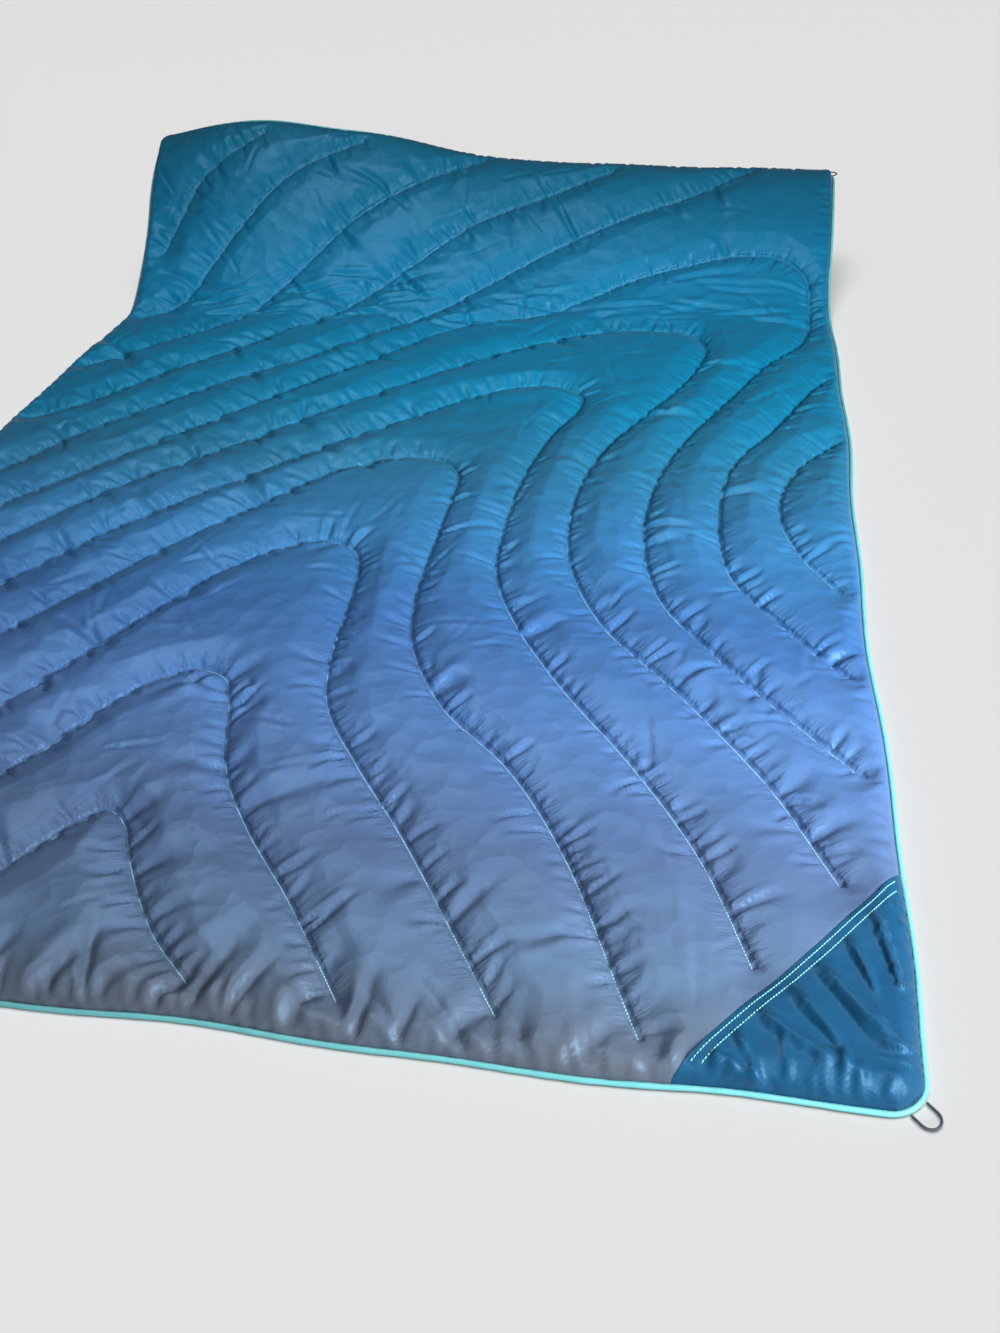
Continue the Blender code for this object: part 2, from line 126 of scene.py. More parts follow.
def finish_material(tree, shader):
    output = tree.nodes.new("ShaderNodeOutputMaterial")
    tree.links.new(shader.outputs[0], output.inputs["Surface"])


# %% [markdown]
# ### Standing for a CAD piece
# Each piece made here takes the place of one node of the CAD model and rides on that node's body. Those two always go
# together, so they are one function.

# %% Standing for a node


def stands_for(piece, node, body="blanket"):
    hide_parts(node)
    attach(piece, body)


# %% [markdown]
# ### Calendered polyester taffeta
# The shell is a plain weave of fine polyester yarn, pressed between hot rollers (calendered) so that it keeps down
# or batting in. That gives it a silky gloss with a soft sheen at low angles. The colour is printed on it as a fade:
# charcoal at the foot, then slate blue, blue, and teal at the head. The real yarns are about 0.2 mm apart, too fine
# to show here, so the weave is drawn at 1 mm. It follows the cloth's own map, which is in metres, so that it bends
# with the cloth. Facets and a finer crumple in the bump stand for the small creases that thin taffeta is full of.

# %% Taffeta
CLOTH_MAP, STITCH_MAP = "cloth", "beside_stitching"
LENGTH = 1.905  # seam to seam, measured along the cloth
WEAVE_PITCH = 0.001
GATHERS_FROM, GATHERS_TO = 0.005, 0.026  # how far from the stitching the gathers are deepest, and where they end
FADE = (
    (0.000, "454d59"),
    (0.040, "455973"),
    (0.110, "3d5070"),
    (0.200, "3c5b88"),
    (0.300, "2c5180"),
    (0.400, "275d88"),
    (0.500, "1a5776"),
    (0.600, "065d7e"),
    (0.720, "035f81"),
    (0.850, "0b5b7e"),
    (0.920, "08506d"),
    (1.000, "0c4e67"),
)


def woven_taffeta(name, stops, roughness, weave_depth, gather_depth):
    made, tree = new_material(name)
    cloth = add_node(tree, "UVMap", {"uv_map": CLOTH_MAP}).outputs["UV"]
    split = add_node(tree, "SeparateXYZ", Vector=cloth)
    # The print: its place in the fade wanders a little, and its shade is mottled.
    blotch = add_node(tree, "TexNoise", Vector=cloth, Scale=6.0, Detail=4.0, Roughness=0.55)
    drift = add_node(tree, "Math", {"operation": "MULTIPLY_ADD"}, _0=blotch.outputs["Fac"], _1=0.05, _2=-0.025)
    share = add_node(tree, "Math", {"operation": "DIVIDE"}, _0=split.outputs["Y"], _1=LENGTH)
    placed = add_node(tree, "Math", {"operation": "ADD"}, _0=share.outputs[0], _1=drift.outputs[0])
    colour = add_node(tree, "ValToRGB", {"stops": stops}, Fac=placed.outputs[0])
    mottle = add_node(tree, "TexNoise", Vector=cloth, Scale=38.0, Detail=5.0, Roughness=0.6)
    shade = add_node(tree, "MapRange", Value=mottle.outputs["Fac"], To_Min=0.93, To_Max=1.07)
    dyed = add_node(tree, "VectorMath", {"operation": "SCALE"}, _0=colour.outputs["Color"], Scale=shade.outputs[0])
    # Warp and weft: two sets of ribs a yarn apart.
    ribs = []
    for axis in ("X", "Y"):
        turned = add_node(tree, "Math", {"operation": "MULTIPLY"}, _0=split.outputs[axis], _1=2 * math.pi / WEAVE_PITCH)
        ribs.append(add_node(tree, "Math", {"operation": "SINE"}, _0=turned.outputs[0]).outputs[0])
    weave = add_node(tree, "Math", {"operation": "MULTIPLY"}, _0=ribs[0], _1=ribs[1])
    # Small creases: facets about 30 mm across, and a finer crumple.
    facets = add_node(tree, "TexVoronoi", {"feature": "F1"}, Vector=cloth, Scale=34.0)
    crumple = add_node(tree, "TexNoise", Vector=cloth, Scale=90.0, Detail=3.0, Roughness=0.5)
    # Gathers: fine creases that run away from the stitching and fade out beside it.
    beside = add_node(tree, "UVMap", {"uv_map": STITCH_MAP}).outputs["UV"]
    apart = add_node(tree, "SeparateXYZ", Vector=beside).outputs["Y"]
    drawn_out = add_node(tree, "Mapping", Vector=beside, Scale=(1.0, 0.16, 1.0))
    comb = add_node(tree, "TexNoise", Vector=drawn_out.outputs[0], Scale=150.0, Detail=3.0, Roughness=0.6)
    starting = add_node(tree, "MapRange", Value=apart, From_Max=GATHERS_FROM)
    fading = add_node(tree, "MapRange", Value=apart, From_Min=GATHERS_FROM, From_Max=GATHERS_TO, To_Min=1.0, To_Max=0.0)
    faded = add_node(tree, "Math", {"operation": "MULTIPLY"}, _0=starting.outputs[0], _1=fading.outputs[0])
    combed = add_node(tree, "Math", {"operation": "MULTIPLY"}, _0=comb.outputs["Fac"], _1=faded.outputs[0])
    surface = {}
    for height, depth in (
        (facets.outputs["Distance"], 0.0020),
        (crumple.outputs["Fac"], 0.0006),
        (combed.outputs[0], gather_depth),
        (weave.outputs[0], weave_depth),
    ):
        bump = add_node(tree, "Bump", Strength=1.0, Distance=depth, Height=height, **surface)
        surface = {"Normal": bump.outputs["Normal"]}
    worn = add_node(tree, "MapRange", Value=mottle.outputs["Fac"], To_Min=roughness - 0.05, To_Max=roughness + 0.07)
    shader = add_node(
        tree, "BsdfPrincipled", Base_Color=dyed.outputs[0], Roughness=worn.outputs[0], IOR=1.5,
        Specular_IOR_Level=0.5, Specular_Tint=linear("a0d4ff"), Sheen_Weight=0.03, Sheen_Roughness=0.4,
        Sheen_Tint=linear("b8d8f0"), **surface,
    )
    finish_material(tree, shader)
    return made


face_taffeta = woven_taffeta("calendered_polyester_taffeta_printed", FADE, 0.35, 0.00003, 0.0028)

# %% [markdown]
# ## The cloth's shape
# A place on the cloth is given by x across it and by the length along it from the foot seam, and a piece on it adds
# a height above the underside. One function, lay, turns those into points in space. Up to the rise the cloth is
# flat; after that it follows an S-shaped slope whose top edge is higher over one pillow than the other. The slope is
# worked out once as a table, because measuring length along a curve has no simple formula.

# %% Places on the cloth
WIDTH = seam_high.x - seam_low.x
FOOT_Y = seam_low.y
CORNER_RADIUS = 0.030
RAISE_START, RAISE_RUN = 1.47, 0.40
HEAD_HEIGHTS = ((-1.0, 0.255), (-0.70, 0.305), (-0.41, 0.275), (0.0, 0.190), (0.40, 0.172), (1.0, 0.155))


def smooth(t):
    t = np.clip(t, 0.0, 1.0)
    return t * t * (3 - 2 * t)


def rounded(share):
    """A quarter of a circle: steep at 0, and level from 1 on."""
    return np.sqrt(np.maximum(1 - (1 - np.clip(share, 0, 1)) ** 2, 0.0))


def head_height(share):
    """Height of the head edge at a share of half the width, on a smooth curve through HEAD_HEIGHTS."""
    xs, hs = np.array(HEAD_HEIGHTS).T
    slopes = np.gradient(hs, xs)
    share = np.clip(share, xs[0], xs[-1])
    i = np.clip(np.searchsorted(xs, share, "right") - 1, 0, len(xs) - 2)
    run = xs[i + 1] - xs[i]
    t = (share - xs[i]) / run
    start = (1 + 2 * t) * (1 - t) ** 2 * hs[i] + t * (1 - t) ** 2 * run * slopes[i]
    end = t * t * (3 - 2 * t) * hs[i + 1] + t * t * (t - 1) * run * slopes[i + 1]
    return start + end


TABLE_MARGIN = 0.03
TABLE_X = np.linspace(-0.72, 0.72, 145)
TABLE_ALONG = np.linspace(-TABLE_MARGIN, LENGTH + TABLE_MARGIN, 394)
table = np.zeros((len(TABLE_X), len(TABLE_ALONG), 3))
for k, x in enumerate(TABLE_X):
    ys = np.linspace(RAISE_START, RAISE_START + RAISE_RUN * 1.3, 400)
    zs = head_height(x / (WIDTH / 2)) * smooth((ys - RAISE_START) / RAISE_RUN)
    walked = RAISE_START + np.concatenate([[0], np.cumsum(np.hypot(np.diff(ys), np.diff(zs)))])
    flat = TABLE_ALONG <= RAISE_START
    table[k, :, 0] = x
    table[k, :, 1] = FOOT_Y + np.where(flat, TABLE_ALONG, np.interp(TABLE_ALONG, walked, ys))
    table[k, :, 2] = np.where(flat, 0.0, np.interp(TABLE_ALONG, walked, zs))
table_up = np.cross(np.gradient(table, axis=0), np.gradient(table, axis=1))


def look_up(values, x, along):
    """Reads a table between its points."""
    u = (x - TABLE_X[0]) / (TABLE_X[1] - TABLE_X[0])
    v = (along - TABLE_ALONG[0]) / (TABLE_ALONG[1] - TABLE_ALONG[0])
    i = np.clip(u.astype(int), 0, len(TABLE_X) - 2)
    j = np.clip(v.astype(int), 0, len(TABLE_ALONG) - 2)
    u, v = (u - i)[..., None], (v - j)[..., None]
    low = (1 - u) * values[i, j] + u * values[i + 1, j]
    high = (1 - u) * values[i, j + 1] + u * values[i + 1, j + 1]
    return (1 - v) * low + v * high


def wander(x, along):
    """The small waves of a hand-laid edge. They fade out towards the corners, where the cord loops are."""
    middle = smooth((np.minimum(along, LENGTH - along) - 0.02) / 0.18)
    by_side = smooth((np.abs(x) - 0.40) / 0.26) * middle
    wave = np.where(
        x > 0,
        0.004 * np.sin(along * 6.2 + 0.6) + 0.002 * np.sin(along * 19.0),
        0.004 * np.sin(along * 8.0 + 2.0) + 0.002 * np.sin(along * 23.0),
    )
    inner = smooth((WIDTH / 2 - np.abs(x) - 0.02) / 0.18)
    by_end = smooth((np.abs(along - LENGTH / 2) - LENGTH / 2 + 0.22) / 0.22) * inner
    ripple = 0.003 * np.sin(x * 11.0 + 1.0) + 0.0015 * np.sin(x * 27.0)
    return x + wave * by_side, along + ripple * by_end


def lay(x, along, height):
    """Points in space for places on the cloth, this high above its underside."""
    x, along = wander(np.asarray(x, float), np.asarray(along, float))
    up = look_up(table_up, x, along)
    up /= np.linalg.norm(up, axis=-1, keepdims=True)
    return look_up(table, x, along) + up * np.asarray(height)[..., None]


def half_width(along):
    """Half the width at a place along, less at the rounded corners."""
    corner = np.maximum(CORNER_RADIUS - np.maximum(np.minimum(along, LENGTH - along), 0.0), 0.0)
    return WIDTH / 2 - CORNER_RADIUS + np.sqrt(CORNER_RADIUS**2 - corner**2)


def from_seam(x, along):
    """How far in from the nearest edge a place is."""
    return np.minimum(half_width(along) - np.abs(x), np.minimum(along, LENGTH - along))


print("cloth", round(WIDTH, 4), "by", LENGTH, "m, head edge up to", round(float(table[..., 2].max()), 3), "m")

# %% [markdown]
# ## Quilting lines
# The rows of stitching are what shapes a quilt, so they come before the cloth. Each is a smooth curve through a few
# places, the same places that the CAD model's thread is sewn through. A centripetal Catmull-Rom curve is used
# because it goes through every place and never makes a loop between two that are close together.

# %% Quilting lines
QUILTING = (
    ((-0.270, 0.030), (-0.184, 0.134), (-0.140, 0.200), (-0.110, 0.225), (-0.085, 0.205), (-0.066, 0.170),
     (-0.006, 0.084), (0.050, 0.030)),
    ((-0.400, 0.030), (-0.320, 0.160), (-0.249, 0.263), (-0.156, 0.420), (-0.105, 0.455), (-0.070, 0.445),
     (-0.050, 0.405), (-0.010, 0.291), (0.037, 0.220), (0.109, 0.134), (0.183, 0.037)),
    ((-0.520, 0.030), (-0.420, 0.190), (-0.306, 0.377), (-0.199, 0.570), (-0.149, 0.656), (-0.085, 0.722),
     (-0.030, 0.740), (0.010, 0.720), (0.032, 0.650), (0.044, 0.491), (0.066, 0.406), (0.123, 0.320),
     (0.194, 0.227), (0.320, 0.041)),
    ((-0.628, 0.080), (-0.500, 0.300), (-0.384, 0.491), (-0.227, 0.734), (-0.149, 0.834), (-0.077, 0.920),
     (0.000, 0.965), (0.070, 0.970), (0.106, 0.935), (0.113, 0.800), (0.118, 0.610), (0.137, 0.520),
     (0.194, 0.420), (0.280, 0.334), (0.351, 0.227), (0.440, 0.034)),
    ((-0.630, 0.290), (-0.540, 0.440), (-0.441, 0.599), (-0.334, 0.749), (-0.120, 0.991), (-0.006, 1.099),
     (0.080, 1.177), (0.150, 1.217), (0.215, 1.225), (0.256, 1.195), (0.258, 1.140), (0.230, 1.063),
     (0.205, 0.930), (0.199, 0.800), (0.209, 0.677), (0.251, 0.577), (0.323, 0.463), (0.409, 0.349),
     (0.480, 0.234), (0.528, 0.115)),
    ((-0.630, 0.495), (-0.499, 0.691), (-0.391, 0.849), (-0.249, 1.006), (-0.106, 1.156), (0.023, 1.284),
     (0.137, 1.377), (0.240, 1.440), (0.340, 1.458), (0.420, 1.440), (0.448, 1.385), (0.425, 1.273),
     (0.366, 1.140), (0.309, 1.006), (0.285, 0.863), (0.297, 0.720), (0.351, 0.591), (0.448, 0.472),
     (0.548, 0.330), (0.606, 0.215)),
    ((-0.630, 0.670), (-0.551, 0.784), (-0.434, 0.934), (-0.200, 1.223), (-0.117, 1.323), (-0.050, 1.410),
     (0.050, 1.482), (0.133, 1.507), (0.217, 1.553), (0.300, 1.603), (0.400, 1.642), (0.500, 1.668),
     (0.575, 1.660), (0.618, 1.620), (0.627, 1.540), (0.608, 1.423), (0.550, 1.332), (0.494, 1.206),
     (0.437, 1.077), (0.398, 0.949), (0.387, 0.791), (0.416, 0.649), (0.494, 0.534), (0.573, 0.434),
     (0.635, 0.360)),
    ((0.635, 1.270), (0.609, 1.220), (0.551, 1.091), (0.501, 0.991), (0.484, 0.849), (0.501, 0.706),
     (0.566, 0.606), (0.635, 0.515)),
    ((0.635, 1.053), (0.587, 0.977), (0.564, 0.860), (0.587, 0.763), (0.635, 0.680)),
    ((0.508, 1.880), (0.400, 1.807), (0.300, 1.757), (0.133, 1.661), (0.017, 1.573), (-0.117, 1.457),
     (-0.183, 1.390), (-0.250, 1.307), (-0.342, 1.232), (-0.450, 1.098), (-0.517, 1.015), (-0.591, 0.906),
     (-0.630, 0.850)),
    ((0.245, 1.865), (0.133, 1.798), (0.000, 1.728), (-0.117, 1.623), (-0.233, 1.515), (-0.292, 1.457),
     (-0.367, 1.365), (-0.467, 1.257), (-0.558, 1.123), (-0.630, 1.060)),
    ((-0.008, 1.880), (-0.117, 1.807), (-0.242, 1.707), (-0.300, 1.640), (-0.383, 1.540), (-0.458, 1.448),
     (-0.540, 1.357), (-0.592, 1.290), (-0.630, 1.255)),
    ((-0.235, 1.880), (-0.333, 1.823), (-0.383, 1.782), (-0.433, 1.723), (-0.475, 1.665), (-0.517, 1.598),
     (-0.558, 1.528), (-0.630, 1.475)),
    ((-0.425, 1.880), (-0.500, 1.828), (-0.550, 1.782), (-0.592, 1.698), (-0.618, 1.640)),
)


def through(points, per_span=24):
    """A smooth curve through points, as many close points (centripetal Catmull-Rom)."""
    p = np.asarray(points, float)
    p = np.vstack([2 * p[0] - p[1], p, 2 * p[-1] - p[-2]])
    found = []
    for k in range(1, len(p) - 2):
        p0, p1, p2, p3 = p[k - 1 : k + 3]
        t1 = np.linalg.norm(p1 - p0) ** 0.5
        t2 = t1 + np.linalg.norm(p2 - p1) ** 0.5
        t3 = t2 + np.linalg.norm(p3 - p2) ** 0.5
        t = np.linspace(t1, t2, per_span, endpoint=False)[:, None]
        a1 = (t1 - t) / t1 * p0 + t / t1 * p1
        a2 = (t2 - t) / (t2 - t1) * p1 + (t - t1) / (t2 - t1) * p2
        a3 = (t3 - t) / (t3 - t2) * p2 + (t - t2) / (t3 - t2) * p3
        b1 = (t2 - t) / t2 * a1 + t / t2 * a2
        b2 = (t3 - t) / (t3 - t1) * a2 + (t - t1) / (t3 - t1) * a3
        found.append((t2 - t) / (t2 - t1) * b1 + (t - t1) / (t2 - t1) * b2)
    return np.vstack([*found, p[-2:-1]])


def evenly(line, step):
    """A line as points an equal step apart."""
    walked = np.concatenate([[0], np.cumsum(np.linalg.norm(np.diff(line, axis=0), axis=1))])
    wanted = np.linspace(0, walked[-1], max(2, round(walked[-1] / step) + 1))
    return np.stack([np.interp(wanted, walked, line[:, k]) for k in range(line.shape[1])], axis=1)


LINE_STEP = 0.001
lines = [evenly(through(places), LINE_STEP) for places in QUILTING]
print(len(lines), "rows of stitching,", round(sum(len(line) for line in lines) * LINE_STEP, 1), "m in all")

# %% [markdown]
# ## A grid that is sewn
# The cloth is a grid of points 4 mm apart. If the stitching only pulled down the points nearest to it, each
# line would be a staircase. So the nearest points are first moved onto the line itself, and each square of the grid
# is later split along the diagonal that keeps the line whole.

# %% The grid


def make_grid(spacing):
    """Places on the cloth as a grid, with closer rows round the rounded corners."""
    ends = [CORNER_RADIUS * (1 - math.cos(k * math.pi / 16)) for k in range(8)]
    inner = np.linspace(CORNER_RADIUS, LENGTH - CORNER_RADIUS, round((LENGTH - 2 * CORNER_RADIUS) / spacing) + 1)
    rows = np.array([*ends, *inner, *[LENGTH - e for e in ends[::-1]]])
    shares = np.linspace(-1, 1, round(WIDTH / spacing) + 1)
    return shares[None] * half_width(rows)[:, None], np.repeat(rows[:, None], len(shares), axis=1)


def nearest_index(values, wanted):
    """The index of the nearest of some rising values."""
    return np.searchsorted((values[1:] + values[:-1]) / 2, wanted)


def sew_grid(x, along):
    """Moves the grid's points that are nearest to a quilting line onto it, and says which were moved."""
    sewn = np.zeros(x.shape, bool)
    rows = along[:, 0].copy()
    shares = np.linspace(-1, 1, x.shape[1])
    for line in lines:
        i = nearest_index(rows, line[:, 1])
        j = nearest_index(shares, line[:, 0] / half_width(line[:, 1]))
        points, first, count = np.unique(i * x.shape[1] + j, return_index=True, return_counts=True)
        long_enough = count > 1
        middle = line[(first + count // 2)[long_enough]]
        x.flat[points[long_enough]] = middle[:, 0]
        along.flat[points[long_enough]] = middle[:, 1]
        sewn.flat[points[long_enough]] = True
    return sewn


def from_lines(x, along):
    """How far each point of a grid is from the nearest quilting line, and how far along that line."""
    samples = np.vstack([line[::2] for line in lines])
    # Each line's distances start 3 m further on, so that the gathers of neighbouring lines don't match.
    walked = np.concatenate([np.arange(len(line[::2])) * 2 * LINE_STEP + 3.0 * k for k, line in enumerate(lines)])
    tree = kdtree.KDTree(len(samples))
    for k, (a, b) in enumerate(samples.tolist()):
        tree.insert((a, b, 0.0), k)
    tree.balance()
    found = [tree.find((a, b, 0.0))[1:] for a, b in zip(x.ravel().tolist(), along.ravel().tolist())]
    nearest, away = np.array(found).T
    return away.reshape(x.shape), walked[nearest.astype(int)].reshape(x.shape)


def sewn_grid(spacing):
    """A grid drawn onto the stitching: its places, which were moved, and how far each is from a line and along it."""
    x, along = make_grid(spacing)
    sewn = sew_grid(x, along)
    away, walked = from_lines(x, along)
    away[sewn] = 0.0
    return x, along, sewn, away, walked


FACE_SPACING, BACK_SPACING = 0.0040, 0.0082
face_x, face_along, face_sewn, face_away, face_walked = sewn_grid(FACE_SPACING)
print("face grid", face_x.shape, "with", int(face_sewn.sum()), "points on the stitching")

# %% [markdown]
# ## Creases
# Thin cloth that is held by stitching has more length than the thread lets it use, and the rest gathers into short
# creases that start at the stitching and run across the channel. They could be left to a cloth simulation alone,
# but then they come out all alike. Here each one is drawn first, as a groove with two soft shoulders, with its own
# length, slant and depth, and the cloth is relaxed afterwards so that neighbours run into each other.

# %% Drawing creases
luck = np.random.default_rng(7)


def crease(height, x, along, start, heading, length, width, depth, bow=0.0):
    """Adds one tapering groove, with raised shoulders, to a grid of heights."""
    reach = length + 4 * width
    rows = np.searchsorted(along[:, 0], [start[1] - reach, start[1] + reach])
    shares = x[x.shape[0] // 2]
    columns = np.searchsorted(shares, [start[0] - reach, start[0] + reach])
    part = (slice(rows[0], rows[1]), slice(columns[0], columns[1]))
    dx, dy = x[part] - start[0], along[part] - start[1]
    forward = dx * heading[0] + dy * heading[1]
    across = dy * heading[0] - dx * heading[1] + bow * forward**2 / length
    spread = width * (0.6 + 0.8 * np.clip(forward / length, 0, 1))
    fade = smooth((forward + width) / (2 * width)) * smooth((length - forward) / (0.7 * length))
    groove = -np.exp(-((across / spread) ** 2)) + 0.4 * np.exp(-(((across - 2 * spread) / spread) ** 2))
    height[part] += depth * fade * groove


def crease_lines(height, x, along, spacing, longest, deepest, widths=(0.0032, 0.0050), right_share=1.0):
    """Draws creases from both sides of every quilting line, in groups, with smooth stretches between.

    right_share is how many of them the right half keeps, where the rows run lengthways and the cloth lies smoother.
    """
    for line in lines:
        ahead = np.gradient(line, axis=0)
        ahead /= np.linalg.norm(ahead, axis=1, keepdims=True)
        for side in (-1, 1):
            at = luck.uniform(0, spacing)
            lean = luck.uniform(-0.5, 0.5)
            while at < len(line) * LINE_STEP:
                k = min(int(at / LINE_STEP), len(line) - 1)
                lean = 0.8 * lean + luck.uniform(-0.25, 0.25)
                strength = luck.uniform(0.2, 1.0) ** 2
                away = np.array([-ahead[k, 1], ahead[k, 0]]) * side + ahead[k] * lean
                away /= np.linalg.norm(away)
                length = longest * (0.25 + 0.75 * strength) * luck.uniform(0.6, 1.3)
                if luck.uniform() > 1 - (1 - right_share) * smooth((line[k, 0] + 0.05) / 0.2):
                    at += spacing
                    continue
                crease(height, x, along, line[k], away, length, luck.uniform(*widths),
                       deepest * (0.25 + 0.75 * strength), luck.uniform(-0.3, 0.3))
                at += spacing * math.exp(luck.normal(0, 0.65))


def crease_edge(height, x, along, places, inward, spacing, longest, deepest, widths):
    """Draws the gathers of a hem: creases that start at the seam and run inward."""
    at = 0.0
    walked = np.concatenate([[0], np.cumsum(np.linalg.norm(np.diff(places, axis=0), axis=1))])
    while at < walked[-1]:
        start = np.array([np.interp(at, walked, places[:, 0]), np.interp(at, walked, places[:, 1])])
        heading = np.array(inward) + luck.uniform(-0.35, 0.35) * np.array([inward[1], -inward[0]])
        heading /= np.linalg.norm(heading)
        strength = luck.uniform(0.3, 1.0)
        crease(height, x, along, start, heading, longest * strength, luck.uniform(*widths), deepest * strength)
        at += spacing * luck.uniform(0.5, 1.5)


# %% [markdown]
# ## The face's loft
# Between two rows of stitching the batting lifts the cloth into a rounded channel. The height rises steeply beside
# the thread and levels off in the middle, as a pillow does. It falls to almost nothing at the seam, where the
# batting ends.

# %% Loft
CROWN, VALLEY, EDGE = 0.0235, 0.0045, 0.0030  # heights: mid-channel, at the stitching, at the seam
HALF_CHANNEL = 0.052  # the loft is full this far from the stitching
EDGE_TAPER, HEAD_TAPER = 0.030, 0.090
FILL_INSET = 0.012  # the batting ends this far in from the seam


def loft(x, along, away):
    """The face's height: a rounded channel between the rows of stitching, which falls to the seam at the edges."""
    rise = np.clip(away / HALF_CHANNEL, 0, 1)
    swell = 0.0016 * (np.sin(x * 17 + along * 9) + np.sin(x * 8 - along * 21 + 2))
    swell += 0.0010 * np.sin(x * 46 - along * 31) * np.sin(x * 23 + along * 52 + 1)
    full = VALLEY + (CROWN + swell - VALLEY) * (0.75 * rounded(rise) + 0.25 * smooth(rise))
    # The head edge thins out over a longer way, so that its piping shows over the top of the rise.
    inset = np.minimum(from_seam(x, along), (LENGTH - along) * EDGE_TAPER / HEAD_TAPER)
    return np.minimum(full, EDGE + (CROWN - EDGE) * rounded(inset / EDGE_TAPER))


# The corner patch lies over the face here, so the face is left smooth and a little lower under it.
PATCH_FOOT, PATCH_SIDE = 0.193, 0.235
on_foot = np.array([WIDTH / 2 - PATCH_FOOT, 0.0])
on_side = np.array([WIDTH / 2, PATCH_SIDE])
slant = (on_side - on_foot) / np.linalg.norm(on_side - on_foot)
to_corner = np.array([slant[1], -slant[0]])


def under_patch(x, along):
    """How far a place is inside the patch's slanted edge."""
    return (x - on_foot[0]) * to_corner[0] + (along - on_foot[1]) * to_corner[1]


face_loft = loft(face_x, face_along, face_away)
face_drawn = face_loft.copy()
crease_lines(face_drawn, face_x, face_along, 0.019, 0.050, 0.0050)
crease_lines(face_drawn, face_x, face_along, 0.085, 0.110, 0.0070, widths=(0.006, 0.013), right_share=0.3)
PACKING_CREASES, CROSS_FOLDS = 260, 46
for _ in range(PACKING_CREASES):
    # Straight creases left from packing lie at all angles.
    turned = luck.uniform(0, math.pi)
    crease(face_drawn, face_x, face_along, (luck.uniform(-0.64, 0.64), luck.uniform(0.02, 1.88)),
           (math.cos(turned), math.sin(turned)), luck.uniform(0.04, 0.13), luck.uniform(0.0034, 0.0060),
           luck.uniform(0.0006, 0.0020), luck.uniform(-0.15, 0.15))
foot_line = np.stack([np.linspace(-0.60, 0.60, 200), np.full(200, 0.004)], axis=1)
head_line = foot_line * (1, 0) + (0, LENGTH - 0.004)
side_line = np.stack([np.full(300, WIDTH / 2 - 0.004), np.linspace(0.10, LENGTH - 0.05, 300)], axis=1)
HEM_GATHERS = (  # line, which way they run, spacing, length, depth, least and most width
    (foot_line, (0, 1), 0.024, 0.045, 0.0024, (0.004, 0.007)),
    (foot_line, (0.4, 1), 0.045, 0.120, 0.0060, (0.006, 0.012)),
    (foot_line, (-0.5, 1), 0.070, 0.110, 0.0050, (0.005, 0.011)),
    (head_line, (0, -1), 0.030, 0.050, 0.0012, (0.004, 0.007)),
    (side_line, (-1, 0), 0.018, 0.045, 0.0022, (0.004, 0.007)),
    (side_line * (-1, 1), (1, 0), 0.018, 0.045, 0.0022, (0.004, 0.007)),
)
for gathers in HEM_GATHERS:
    crease_edge(face_drawn, face_x, face_along, *gathers)
for _ in range(CROSS_FOLDS):
    # Where the cloth starts to rise it is squeezed lengthways, and folds across.
    start = (luck.uniform(-0.62, 0.55), luck.uniform(1.44, 1.60))
    heading = (math.cos(0.12), math.sin(luck.uniform(-0.2, 0.35)))
    crease(face_drawn, face_x, face_along, start, heading, luck.uniform(0.08, 0.24), luck.uniform(0.005, 0.010),
           luck.uniform(0.0015, 0.0045), luck.uniform(-0.2, 0.2))
under_depth = under_patch(face_x, face_along)
under = smooth((under_depth + 0.006) / 0.008)
face_under = face_loft - 0.0020 * smooth(under_depth / 0.004)
face_drawn = face_drawn * (1 - under) + face_under * under
print("loft from", round(1000 * float(face_loft.min()), 1), "to", round(1000 * float(face_loft.max()), 1), "mm")

# %% [markdown]
# ## Relaxing the cloth
# The drawn creases are only a guess at the height. Real taffeta hardly stretches, so every edge of the grid is given
# its true length, a few percent more than the room that the stitching leaves it, and the grid is pulled to those
# lengths over and over while the batting pushes it towards its loft. That is how cloth simulation works, written
# out for a grid so that it takes seconds: neighbours hold the length, second neighbours resist a sharp bend, and
# the points on the stitching and the seam are held still.

# %% Relax


def hold_length(points, free, down, across, rest, stiffness):
    """Pulls each point and the one that many rows and columns on towards their true distance."""
    rows, columns = free.shape
    period = 2 * max(down, abs(across))
    from_column, to_column = max(0, -across), columns - max(0, across)
    for phase in range(period):
        if down:
            here = (slice(phase, rows - down, period), slice(from_column, to_column))
            there = (slice(phase + down, rows, period), slice(from_column + across, to_column + across))
        else:
            here = (slice(None), slice(phase, columns - across, period))
            there = (slice(None), slice(phase + across, columns, period))
        a, b = points[here], points[there]
        step = b - a
        length = np.sqrt((step * step).sum(axis=-1)) + 1e-9
        share = stiffness * (length - rest[here]) / length / (free[here] + free[there] + 1e-6)
        a += step * (share * free[here])[..., None]
        b -= step * (share * free[there])[..., None]


